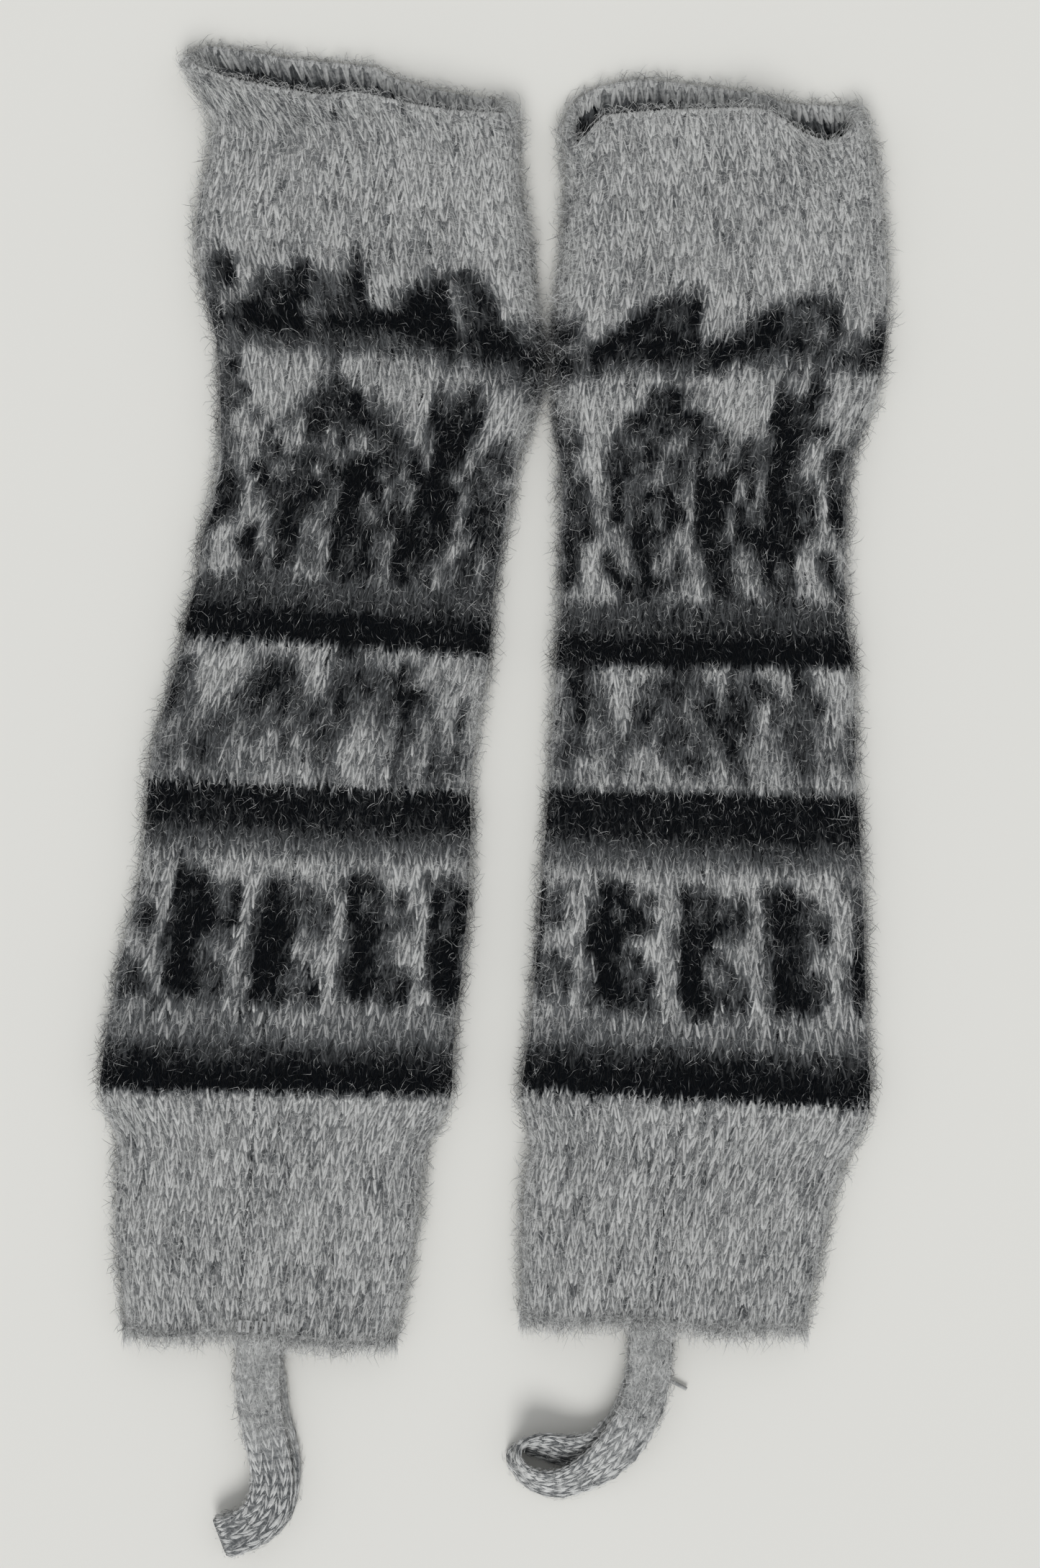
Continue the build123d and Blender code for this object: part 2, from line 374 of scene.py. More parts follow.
RIGHT_BLOCKS = """
:.....::...................+..
#:++.+#xx....x+:....xxx:...+x:
#+x..:##x+x.:#xxx+x.x##xx...+x
#x+:.x#+#x:..x+x+xx.x##x++..+x
xxx:.x#x#xx..xxx#xx.x##xxx..x#
#::..###xx+.+###x++.+##x+#..xx
+...:###+...+#x#::..xxxx+:..#x
x+x..x#xxx..:##+x:..+##x:..+#x
#++x.:##+x+.:##:+x..+#xx+:.+##
#x+x::##x+x:.##x:x+.:##xxx.+##
:x+x.+##xxx..##xx+x.+###x+.:#x
.+::.+x##xx:.x##xxx.+#x#x..:x:
.:.:..:+++++..xx:+:..+:+::....
"""

RIGHT_PATTERN: tuple[Chart | Fade, ...] = (
    Chart(75.0, 112.0, RIGHT_HUMPS),
    Chart(112.0, 207.0, RIGHT_FIGURES),
    Fade(207.0, 221.0, 0.44, 0.22),
    Fade(221.0, 234.0, 0.0, 0.0),
    Chart(234.0, 286.0, RIGHT_PEAKS, WASH),
    Fade(286.0, 305.0, 0.06, 0.12),
    Fade(305.0, 319.0, 0.2, 0.78),
    Chart(319.0, 381.0, RIGHT_BLOCKS),
    Fade(381.0, 392.0, 0.8, 0.6),
    Fade(392.0, 403.0, 0.36, 0.08),
    Fade(403.0, 413.0, 0.03, 0.0),
)


# ---------------------------------------------------------------- the form of a leg


@dataclass(frozen=True)
class Course:
    """One course of the tube, measured from the course above it."""

    drop: float  # distance down from the course above
    sway: float  # sideways place of its middle
    flare: float  # how much wider it is than the flat tube
    tilt: float  # turn of its line, in degrees
    height: float = 15.0


@dataclass(frozen=True)
class Swell:
    """A stretch where one edge of the leg is fuller and leans on its neighbour."""

    middle: float  # distance down the leg
    reach: float  # how far up and down it fades out
    amount: float  # how far it stands out to the right, or to the left below zero

    def push(self, share: np.ndarray, down: np.ndarray) -> np.ndarray:
        """How far places move sideways.

        Args:
            share: Place across the leg from -1 to 1.
            down: Distance down the leg.

        Returns:
            The sideways move.
        """
        bell = ease(1 - np.abs(down - self.middle) / self.reach)
        outer = np.clip(share * math.copysign(1, self.amount), 0, 1)
        return self.amount * bell * outer**2


@dataclass(frozen=True)
class Rim:
    """How far the mouth's edge stands up or dips, as places across the leg and rises."""

    front: tuple[tuple[float, float], ...]
    back: tuple[tuple[float, float], ...]


@dataclass(frozen=True)
class Drape:
    """How unevenly a tube lies."""

    rim_fade: float = 75.0  # the mouth's ups and downs have died out this far down
    foot_wave: float = 1.3  # how far the foot's edge waves up and down
    wave_length: float = 11.0
    wave_reach: float = 25.0  # how far above the foot the wave dies out
    puff: float = 2.6  # height of the front's soft rises
    puff_size: tuple[float, float] = (34.0, 46.0)
    crease: float = 1.1  # height of its narrow creases
    crease_size: tuple[float, float] = (12.0, 60.0)
    side_drop: float = 0.14  # share by which the sides lie lower than the middle
    wander: float = 0.9  # how far the side edges wander
    wander_length: float = 16.0


class KnitForm:
    """A smooth form that stitches and fibres are laid on.

    Places on it are given by a share of the way round, a run along it and a lift above its crests.
    """

    length: float
    wales: int

    def place(self, turn: np.ndarray, run: np.ndarray, lift: np.ndarray) -> np.ndarray:
        """Points for places on the form, in millimetres, one row of x, y and z each."""
        raise NotImplementedError

    def girth(self) -> float:
        """Usual distance once round the form."""
        raise NotImplementedError

    def tone(self, turn: np.ndarray, run: np.ndarray) -> np.ndarray:
        """Lightness of the yarn at places on the form."""
        raise NotImplementedError


def flat_oval(turn: np.ndarray, half: np.ndarray, radius: np.ndarray) -> tuple[np.ndarray, ...]:
    """A flattened tube's section, from its left edge over the top to its right edge and back.

    Args:
        turn: Share of the way round.
        half: Half of the section's width.
        radius: Half of its height, which rounds its edges.

    Returns:
        Across, height from the middle, and the outward direction's two parts.
    """
    flat = half - radius
    quarter = math.pi * radius / 2
    around = (np.asarray(turn) % 1.0) * (4 * flat + 4 * quarter)
    first = around / radius
    over = around - quarter
    right = (over - 2 * flat) / radius
    under = over - 2 * flat - 2 * quarter
    last = (under - 2 * flat) / radius
    stages = [around < quarter, over < 2 * flat, under < 0, under < 2 * flat]
    across = np.select(
        stages,
        [-flat - radius * np.cos(first), -flat + over, flat + radius * np.sin(right), flat - under],
        -flat - radius * np.sin(last),
    )
    up = np.select(
        stages,
        [radius * np.sin(first), radius + 0 * over, radius * np.cos(right), -radius + 0 * over],
        -radius * np.cos(last),
    )
    out_x = np.select(stages, [-np.cos(first), 0 * over, np.sin(right), 0 * over], -np.sin(last))
    over_z, under_z = 1 + 0 * over, -1 + 0 * over
    out_z = np.select(stages, [np.sin(first), over_z, np.cos(right), under_z], -np.cos(last))
    return across, up, out_x, out_z


@dataclass
class LegForm(KnitForm):
    """The flattened tube of one leg warmer, placed by the frame's figure band."""

    side: Side
    axis_x: float
    rim_y: float
    courses: tuple[Course, ...]
    rim: Rim
    swell: Swell
    pattern: tuple[Chart | Fade, ...]
    seed: int
    wales: int = WALES
    drape: Drape = Drape()
    shift: tuple[float, float] = field(default=(0.0, 0.0), init=False)

    def __post_init__(self) -> None:
        """Works out the courses' runs and lines the form up with the frame."""
        self.runs = np.cumsum([course.drop for course in self.courses])
        self.length = float(self.runs[-1])
        low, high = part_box(f"{self.side.value}_figure_band")
        corners = []
        for i in FIGURE_COURSES:
            course, y = self.courses[i], self.rim_y - self.runs[i]
            half, lean = (FLAT_WIDTH + course.flare) / 2, math.radians(course.tilt)
            for end in (-half, half):
                x = self.axis_x + course.sway + end * math.cos(lean)
                corners.append((x, y + end * math.sin(lean)))
        edges = np.array(corners)
        middle_x = (edges[:, 0].min() + edges[:, 0].max()) / 2
        middle_y = (edges[:, 1].min() + edges[:, 1].max()) / 2
        self.shift = (
            (low.x + high.x) / 2 / MM - middle_x,
            (low.y + high.y) / 2 / MM - middle_y,
        )

    def along(self, name: str, run: np.ndarray) -> np.ndarray:
        """One of the courses' values, smooth along the leg."""
        return smooth_line(self.runs, [getattr(course, name) for course in self.courses], run)

    def rise(self, across: np.ndarray, upper: np.ndarray) -> np.ndarray:
        """How far the mouth's edge stands above the first course.

        Args:
            across: Place across the leg from -1 to 1.
            upper: 1 on the front layer and 0 on the back layer.

        Returns:
            The rise, less than nothing where the edge dips.
        """
        front, back = np.array(self.rim.front), np.array(self.rim.back)
        share = ease(upper)
        return share * smooth_line(front[:, 0], front[:, 1], across) + (1 - share) * smooth_line(
            back[:, 0], back[:, 1], across
        )

    def place(self, turn: np.ndarray, run: np.ndarray, lift: np.ndarray) -> np.ndarray:
        """Points for places on the tube.

        Args:
            turn: Share of the way round, from the left edge over the front.
            run: Distance down the leg; below zero it turns over the rim and goes inside.
            lift: Height above the knit's crests.

        Returns:
            One row of x, y and z for each place, in millimetres.
        """
        drape = self.drape
        turn, run, lift = np.broadcast_arrays(*(np.asarray(v, float) for v in (turn, run, lift)))
        roll = np.clip(-run / RIM_RADIUS, 0, math.pi)
        inside = np.maximum(-run - math.pi * RIM_RADIUS, 0)
        thin = (2 * RIM_RADIUS - WALL) * ease((inside - FACING + 3) / 6)
        depth = RIM_RADIUS - (RIM_RADIUS + lift) * np.cos(roll) - thin
        down = np.maximum(run, 0) + inside
        half = (FLAT_WIDTH + self.along("flare", down)) / 2
        radius = self.along("height", down) / 2
        across, up, out_x, out_z = flat_oval(turn, half, radius)
        share, upper = across / half, (up + radius) / (2 * radius)
        rise = self.rise(share, upper) * np.clip(1 - down / drape.rim_fade, 0, 1) ** 2
        near_foot = ease(1 - (self.length - down) / drape.wave_reach)
        wave = drape.foot_wave * np.sin(across / drape.wave_length + self.seed) * near_foot
        level = self.rim_y - down + (RIM_RADIUS + lift) * np.sin(roll) + rise + wave
        (puff_x, puff_y), (crease_x, crease_y) = drape.puff_size, drape.crease_size
        puff = cloud(across / puff_x + 9, down / puff_y + 5, self.seed) - 0.5
        crease = cloud(across / crease_x + 3, down / crease_y + 1, self.seed + 7) - 0.5
        height = (radius + up - out_z * depth) * (1 - drape.side_drop * share**2)
        height = height + (drape.puff * puff + drape.crease * crease) * upper
        height = np.maximum(height, FLOOR_GAP)
        across = across - out_x * depth
        middle = self.axis_x + self.along("sway", down) + self.shift[0]
        lean = np.radians(self.along("tilt", down))
        drift = cloud(down / drape.wander_length, turn * 6, self.seed + 3) - 0.5
        wander = drape.wander * drift * np.sign(across)
        across = across + wander + self.swell.push(share, down)
        x = middle + across * np.cos(lean)
        y = level + across * np.sin(lean) + self.shift[1]
        return np.stack([x, y, height], axis=-1)

    def girth(self) -> float:
        """Usual distance once round the leg."""
        radius = self.courses[USUAL_COURSE].height / 2
        return 2 * (FLAT_WIDTH - 2 * radius) + 2 * math.pi * radius

    def tone(self, turn: np.ndarray, run: np.ndarray) -> np.ndarray:
        """Lightness of the yarn; the pattern of the front goes on round the back.

        Args:
            turn: Share of the way round.
            run: Distance down the leg.

        Returns:
            Lightness from 0, charcoal, to 1, light grey.
        """
        turn = np.asarray(turn) % 1.0
        column = turn * self.wales - 0.5
        column = np.where(turn < 0.5, column, self.wales - 1 - column)
        tone = np.ones_like(column + run)
        for part in self.pattern:
            inside = (run >= part.top) & (run < part.bottom)
            tone = np.where(inside, part.tone(column, run), tone)
        return tone

    def stretch_of(self, run: np.ndarray) -> np.ndarray:
        """Index of the stretch that each run lies in."""
        ends = np.array([self.runs[last] for _, _, last, _ in STRETCHES[:-1]])
        return np.searchsorted(ends, run)


# ---------------------------------------------------------------- the form of a strap


@dataclass(frozen=True)
class StrapStop:
    """A point on a strap's middle line, with the direction from its middle to its left edge."""

    x: float
    y: float
    z: float
    facing: float
    lean: float = 0.0

    def edge(self) -> tuple[float, float, float]:
        """The direction to the left edge."""
        facing, lean = math.radians(self.facing), math.radians(self.lean)
        flat = math.cos(lean)
        return (math.cos(facing) * flat, math.sin(facing) * flat, math.sin(lean))


@dataclass
class StrapForm(KnitForm):
    """A knitted band that follows its stops from the foot's front edge round to its back edge."""

    stops: tuple[StrapStop, ...]
    origin: tuple[float, float]
    slope: float  # turn of the whole strap, in degrees
    seed: int
    width: float = 19.0
    thickness: float = 3.6
    waver: float = 0.7  # how much its width changes
    wales: int = 8

    def __post_init__(self) -> None:
        """Runs one smooth line through the stops and measures it."""
        points = np.array([(s.x, s.y, s.z) + s.edge() for s in self.stops])
        gaps = np.sqrt(np.linalg.norm(np.diff(points[:, :3], axis=0), axis=1))
        knots = np.concatenate([[0], np.cumsum(gaps)])
        fine = np.linspace(0, knots[-1], 600)
        tangents = np.gradient(points, knots, axis=0)
        i = np.clip(np.searchsorted(knots, fine) - 1, 0, len(gaps) - 1)
        t = ((fine - knots[i]) / gaps[i])[:, None]
        step = gaps[i][:, None]
        line = (2 * t**3 - 3 * t**2 + 1) * points[i] + (3 * t**2 - 2 * t**3) * points[i + 1]
        line += step * ((t**3 - 2 * t**2 + t) * tangents[i] + (t**3 - t**2) * tangents[i + 1])
        self.line = line[:, :3]
        steps = np.linalg.norm(np.diff(self.line, axis=0), axis=1)
        self.marks = np.concatenate([[0], np.cumsum(steps)])
        self.length = float(self.marks[-1])
        ahead = np.gradient(self.line, self.marks, axis=0)
        self.ahead = ahead / np.linalg.norm(ahead, axis=1)[:, None]
        edge = line[:, 3:]
        edge = edge - self.ahead * (edge * self.ahead).sum(1)[:, None]
        self.edge = edge / np.linalg.norm(edge, axis=1)[:, None]
        self.face = np.cross(self.ahead, self.edge)

    def read(self, table: np.ndarray, run: np.ndarray) -> np.ndarray:
        """A table of directions or points, read at runs along the strap."""
        return np.stack([np.interp(run, self.marks, table[:, k]) for k in range(3)], axis=-1)

    def place(self, turn: np.ndarray, run: np.ndarray, lift: np.ndarray) -> np.ndarray:
        """Points for places on the band, turned onto the foot's slope.

        Args:
            turn: Share of the way round the band's section.
            run: Distance along it from the foot's front edge.
            lift: Height above the knit's crests.

        Returns:
            One row of x, y and z for each place, in millimetres.
        """
        turn, run, lift = np.broadcast_arrays(*(np.asarray(v, float) for v in (turn, run, lift)))
        half = np.full(run.shape, self.width / 2)
        half = half + self.waver * (cloud(run / 14, 0 * run, self.seed) - 0.5)
        across, up, out_x, out_z = flat_oval(turn, half, np.full(run.shape, self.thickness / 2))
        across, up = across + out_x * lift, up + out_z * lift
        point = self.read(self.line, run) + self.read(self.edge, run) * across[..., None]
        point = point + self.read(self.face, run) * up[..., None]
        lean = math.radians(self.slope)
        x = self.origin[0] + point[..., 0] * math.cos(lean) - point[..., 1] * math.sin(lean)
        y = self.origin[1] + point[..., 0] * math.sin(lean) + point[..., 1] * math.cos(lean)
        return np.stack([x, y, np.maximum(point[..., 2], 0.15)], axis=-1)

    def girth(self) -> float:
        """Distance once round the band."""
        return 2 * (self.width - self.thickness) + math.pi * self.thickness

    def tone(self, turn: np.ndarray, run: np.ndarray) -> np.ndarray:
        """The strap is plain light grey, a little darker and lighter along it."""
        return 1.0 + 0.1 * cloud(np.asarray(run) / 18, 0 * np.asarray(turn) + 2, self.seed)


# ---------------------------------------------------------------- finishes


Colour = tuple[float, float, float]


class Mixture:
    """A material that is put together from noise, sums and a colour ramp."""

    def __init__(self, name: str, settings: dict[str, float]) -> None:
        """Starts the material.

        Args:
            name: The material's name.
            settings: Plain values of its shader's sockets.
        """
        self.material = bpy.data.materials.new(name)
        self.material.use_nodes = True
        self.nodes, self.links = self.material.node_tree.nodes, self.material.node_tree.links
        self.shader = self.nodes["Principled BSDF"]
        self.place = self.nodes.new("ShaderNodeTexCoord").outputs["Object"]
        for socket, value in settings.items():
            self.shader.inputs[socket].default_value = value

    def noise(self, scale: float, detail: float = 2.0) -> bpy.types.NodeSocket:
        """Noise on the piece's own coordinates.

        Args:
            scale: Waves in a metre.
            detail: Finer waves on top.

        Returns:
            The noise's value, about 0.5 in the middle.
        """
        node = self.nodes.new("ShaderNodeTexNoise")
        node.inputs["Scale"].default_value = scale
        node.inputs["Detail"].default_value = detail
        self.links.new(self.place, node.inputs["Vector"])
        return node.outputs["Fac"]

    def shifted(
        self, value: bpy.types.NodeSocket, noise: bpy.types.NodeSocket, amount: float
    ) -> bpy.types.NodeSocket:
        """A value moved up and down by noise.

        Args:
            value: The value to move.
            noise: Noise about 0.5.
            amount: How far it moves.

        Returns:
            The moved value's socket.
        """
        swing = self.nodes.new("ShaderNodeMath")
        swing.operation = "MULTIPLY_ADD"
        swing.inputs[1].default_value = amount
        swing.inputs[2].default_value = -amount / 2
        self.links.new(noise, swing.inputs[0])
        total = self.nodes.new("ShaderNodeMath")
        total.operation = "ADD"
        self.links.new(value, total.inputs[0])
        self.links.new(swing.outputs[0], total.inputs[1])
        return total.outputs[0]

    def colour(self, value: bpy.types.NodeSocket, *stops: tuple[float, Colour]) -> None:
        """Turns a value into the shader's colour.

        Args:
            value: Lightness, which the colours follow.
            *stops: Each colour with its lightness, the first and the last one first.
        """
        ramp = self.nodes.new("ShaderNodeValToRGB")
        elements = ramp.color_ramp.elements
        for index, (position, colour) in enumerate(stops):
            stop = elements[index] if index < 2 else elements.new(position)
            stop.position, stop.color = position, (*colour, 1.0)
        self.links.new(value, ramp.inputs["Fac"])
        self.links.new(ramp.outputs["Color"], self.shader.inputs["Base Color"])

    def bump(self, height: bpy.types.NodeSocket, strength: float, depth: float) -> None:
        """Roughens the surface.

        Args:
            height: The height's socket.
            strength: How strongly it shows.
            depth: Its depth in millimetres.
        """
        node = self.nodes.new("ShaderNodeBump")
        node.inputs["Strength"].default_value = strength
        node.inputs["Distance"].default_value = depth * MM
        self.links.new(height, node.inputs["Height"])
        self.links.new(node.outputs["Normal"], self.shader.inputs["Normal"])


@dataclass(frozen=True)
class YarnFinish:
    """A brushed woollen yarn, from its darkest to its lightest fibres."""

    name: str
    dark: Colour
    middle: Colour
    light: Colour
    fleck: float = 0.34  # how much its lightness changes from fleck to fleck
    grain: float = 0.35  # strength of the fibre bumps
    sheen: float = 0.025
    patch: float = 0.22  # how much its lightness changes from patch to patch

    def build(self) -> bpy.types.Material:
        """Makes the yarn's material.

        Returns:
            A material that reads the piece's own tone and mixes flecks and fibre bumps into it.
        """
        mix = Mixture(
            self.name,
            {
                "Roughness": 0.92,
                "Specular IOR Level": 0.03,
                "Sheen Weight": self.sheen,
                "Sheen Roughness": 0.6,
            },
        )
        tone = mix.nodes.new("ShaderNodeAttribute")
        tone.attribute_name = "tone"
        flecks, fibres, patches = mix.noise(620.0, 3.0), mix.noise(1500.0), mix.noise(48.0)
        value = mix.shifted(tone.outputs["Fac"], flecks, self.fleck)
        value = mix.shifted(value, fibres, self.fleck * 0.55)
        value = mix.shifted(value, patches, self.patch)
        mix.colour(value, (0.11, self.dark), (1.0, self.light), (0.52, self.middle))
        mix.bump(fibres, self.grain, depth=0.4)
        return mix.material


KNITTED: tuple[Colour, Colour, Colour] = (
    (0.003, 0.004, 0.0055),
    (0.13, 0.136, 0.14),
    (0.65, 0.652, 0.641),
)
# Painted light: the loose fibres get a lighter copy of the knitted yarn's colours, which makes up
# for the shade that the thin fibres cast on themselves.
LOOSE_LIGHTENED: tuple[Colour, Colour, Colour] = (
    (0.006, 0.0075, 0.009),
    (0.25, 0.256, 0.262),
    (0.85, 0.853, 0.84),
)

FINISHES = {
    Slot.LIGHT: YarnFinish("light_grey_brushed_yarn", *KNITTED, fleck=0.55),
    Slot.CHARCOAL: YarnFinish("charcoal_brushed_yarn", *KNITTED, fleck=0.18),
    Slot.PATTERNED: YarnFinish("two_colour_brushed_knit", *KNITTED, fleck=0.38),
    Slot.SEWING: YarnFinish("grey_sewing_yarn", *KNITTED, fleck=0.3, grain=0.5),
}
FIBRE_FINISH = YarnFinish("loose_brushed_fibres", *LOOSE_LIGHTENED, fleck=0.1, grain=0.1, sheen=0.05)


@dataclass(frozen=True)
class FloorFinish:
    """A matt painted surface with a faint mottle, for the ground that the pair lies on."""

    name: str = "pale_floor"
    colour: Colour = (0.835, 0.825, 0.785)
    mottle: float = 0.985  # the darkest patches' share of the colour

    def build(self) -> bpy.types.Material:
        """Makes the floor's material.

        Returns:
            The material.
        """
        mix = Mixture(self.name, {"Roughness": 0.85, "Specular IOR Level": 0.2})
        darkest = tuple(part * self.mottle for part in self.colour)
        mix.colour(mix.noise(3.0), (0.0, darkest), (1.0, self.colour))
        return mix.material


# ---------------------------------------------------------------- meshes


@dataclass
class Bundle:
    """Points, triangles and tones that become one piece."""

    points: np.ndarray
    triangles: np.ndarray
    tones: np.ndarray

    @staticmethod
    def joined(bundles: list["Bundle"]) -> "Bundle":
        """Several bundles as one, their shapes still separate.

        Args:
            bundles: The bundles, in order.

        Returns:
            The one bundle.
        """
        starts = np.cumsum([0] + [len(b.points) for b in bundles[:-1]])
        return Bundle(
            np.concatenate([b.points for b in bundles]),
            np.concatenate([b.triangles + start for b, start in zip(bundles, starts)]),
            np.concatenate([b.tones for b in bundles]),
        )

    def piece(self, name: str, material: bpy.types.Material) -> bpy.types.Object:
        """Makes the bundle a smooth-shaded object at the origin.

        Args:
            name: The piece's name.
            material: Its finish.

        Returns:
            The new object.
        """
        mesh = bpy.data.meshes.new(name)
        mesh.vertices.add(len(self.points))
        mesh.vertices.foreach_set("co", (self.points * MM).astype(np.float32).ravel())
        mesh.loops.add(self.triangles.size)
        mesh.loops.foreach_set("vertex_index", self.triangles.astype(np.int32).ravel())
        mesh.polygons.add(len(self.triangles))
        starts = np.arange(0, self.triangles.size, 3, dtype=np.int32)
        mesh.polygons.foreach_set("loop_start", starts)
        tone = mesh.attributes.new("tone", "FLOAT", "POINT")
        tone.data.foreach_set("value", np.clip(self.tones, 0, 1).astype(np.float32))
        mesh.update(calc_edges=True)
        mesh.shade_smooth()
        mesh.materials.append(material)
        piece = bpy.data.objects.new(name, mesh)
        bpy.context.scene.collection.objects.link(piece)
        LOG.info("%s: %d triangles", name, len(self.triangles))
        return piece


def wall_faces(around: int, along: int, closed: bool) -> np.ndarray:
    """Triangles of a tube whose points are stored ring place by ring place.

    Args:
        around: Places round the tube.
        along: Rows along it.
        closed: Whether the last row joins the first.

    Returns:
        Three point numbers for each triangle.
    """
    i, j = np.meshgrid(np.arange(around), np.arange(along - (not closed)), indexing="ij")
    here, beside = i * along, (i + 1) % around * along
    a, b = here + j, here + (j + 1) % along
    c, d = beside + (j + 1) % along, beside + j
    halves = [np.stack(corners, -1).reshape(-1, 3) for corners in ((a, b, c), (a, c, d))]
    return np.concatenate(halves)


def grid(columns: np.ndarray, runs: np.ndarray) -> tuple[np.ndarray, np.ndarray]:
    """Every column with every run."""
    column, run = np.meshgrid(columns, runs, indexing="ij")
    return column.ravel(), run.ravel()


def row_middles(length: float, row: float) -> np.ndarray:
    """Where the rows of a knit lie that fills a length with whole rows."""
    count = int(length / row)
    return (np.arange(count) + 0.5) * length / count


class Strand:
    """The slim strand that every stitch is made of, modelled once and copied."""

    def __init__(self, segments: int, rings: int) -> None:
        """Models the strand as a ball drawn out to points at both ends.

        Args:
            segments: Faces round it.
            rings: Rows of faces along it.
        """
        bpy.ops.object.select_all(action="DESELECT")
        bpy.ops.mesh.primitive_uv_sphere_add(segments=segments, ring_count=rings, radius=1.0)
        ball = bpy.context.active_object
        bpy.ops.object.mode_set(mode="EDIT")
        bpy.ops.mesh.select_all(action="SELECT")
        bpy.ops.mesh.quads_convert_to_tris()
        bpy.ops.transform.resize(value=(1.0, 0.9, 1.0))
        bpy.ops.object.mode_set(mode="OBJECT")
        self.points = np.array([v.co for v in ball.data.vertices], float)
        self.triangles = np.array([list(p.vertices) for p in ball.data.polygons], int)
        mesh = ball.data
        bpy.data.objects.remove(ball)
        bpy.data.meshes.remove(mesh)


@dataclass(frozen=True)
class StitchShape:
    """How the two strands of a stitch lie: an arrowhead that points up the knit."""

    apex: float = 0.08  # sideways place of a strand's upper end, in stitch widths
    spread: float = 0.33  # how much further out its lower end is
    reach: float = 1.62  # its length, in rows
    width: float = 0.19  # half of its breadth, in stitch widths
    crest: float = 1.05  # half of its thickness, in millimetres
    fleck: float = 0.13  # how much the strands differ in lightness
    slip: float = 0.75  # how far the strands slip along the knit, in millimetres
    plies: int = 1  # strands side by side in each half of the stitch
    bleed: float = 0.15  # how far the colours of neighbouring stitches run into each other

    def stamp(
        self,
        form: KnitForm,
        strand: Strand,
        columns: np.ndarray,
        runs: np.ndarray,
        tones: np.ndarray,
        row: float,
        rng: np.random.Generator,
    ) -> Bundle:
        """Lays stitches on a form.

        Args:
            form: What they lie on.
            strand: The strand to copy.
            columns: Column of each stitch.
            runs: Middle of each stitch along the form.
            tones: How light each stitch is, as a share of its yarn's lightness.
            row: Height of a row.
            rng: Where the small unevenness comes from.

        Returns:
            All strands of all stitches.
        """
        count = len(columns)
        bundles = []
        for hand, ply in ((hand, ply) for hand in (-1.0, 1.0) for ply in range(self.plies)):
            t = (strand.points[:, 2] + 1) / 2
            wide = self.width * strand.points[:, 0]
            bulk = 1 + 0.12 * rng.standard_normal((count, 1))
            slant = 1 + 0.18 * rng.standard_normal((count, 1))
            beside = 0.17 * (ply - (self.plies - 1) / 2)
            across = hand * (self.apex + self.spread * slant * t) + wide * bulk + beside
            across = across + 0.05 * rng.standard_normal((count, 1))
            turn = (columns[:, None] + 0.5 + across) / form.wales
            along = (0.5 - t) * -self.reach * row + self.slip * rng.standard_normal((count, 1))
            lift = -self.crest + self.crest * bulk * strand.points[:, 1] - 0.5 * (2 * t - 1) ** 2
            points = form.place(turn, runs[:, None] + along, lift + 0 * turn)
            size = len(strand.points)
            faces = strand.triangles + (np.arange(count) * size)[:, None, None]
            stray = self.bleed * rng.standard_normal((2, count, 1))
            yarn = form.tone(turn + stray[0] / form.wales, runs[:, None] + along + 5 * stray[1])
            fleck = self.fleck * rng.standard_normal((count, 1)) * (0.3 + yarn)
            own = yarn * tones[:, None] + fleck
            bundles.append(Bundle(points.reshape(-1, 3), faces.reshape(-1, 3), own.ravel()))
        return Bundle.joined(bundles)


def slivers(lines: np.ndarray, widths: np.ndarray, tones: np.ndarray) -> Bundle:
    """Closed three-sided fibres along lines, pointed at both ends.

    Args:
        lines: For each fibre the same number of points, root first.
        widths: Greatest breadth of each fibre.
        tones: Lightness of each fibre.

    Returns:
        The fibres.
    """
    count, knots, _ = lines.shape
    ahead = np.gradient(lines, axis=1)
    ahead /= np.maximum(np.linalg.norm(ahead, axis=2, keepdims=True), 1e-9)
    first = np.cross(ahead, np.array([0.31, -0.52, 0.79]))
    first /= np.maximum(np.linalg.norm(first, axis=2, keepdims=True), 1e-9)
    second = np.cross(ahead, first)
    radius = widths[:, None, None] / 2 * np.linspace(1.0, 0.6, knots)[None, :, None]
    rings = []
    for corner in range(3):
        angle = corner * 2 * math.pi / 3
        rings.append(lines + radius * (first * math.cos(angle) + second * math.sin(angle)))
    ring = np.stack(rings, axis=2)[:, 1:-1].reshape(count, -1, 3)
    points = np.concatenate([lines[:, :1], ring, lines[:, -1:]], axis=1)
    size = points.shape[1]
    faces = []
    for corner in range(3):
        after = (corner + 1) % 3
        faces.append((0, 1 + after, 1 + corner))
        for level in range(knots - 3):
            near, far = 1 + 3 * level, 4 + 3 * level
            faces.append((near + corner, near + after, far + after))
            faces.append((near + corner, far + after, far + corner))
        last = 1 + 3 * (knots - 3)
        faces.append((size - 1, last + corner, last + after))
    triangles = np.array(faces)[None] + (np.arange(count) * size)[:, None, None]
    points = points.reshape(-1, 3)
    points[:, 2] = np.maximum(points[:, 2], 0.12)
    return Bundle(points, triangles.reshape(-1, 3), np.repeat(tones, size))


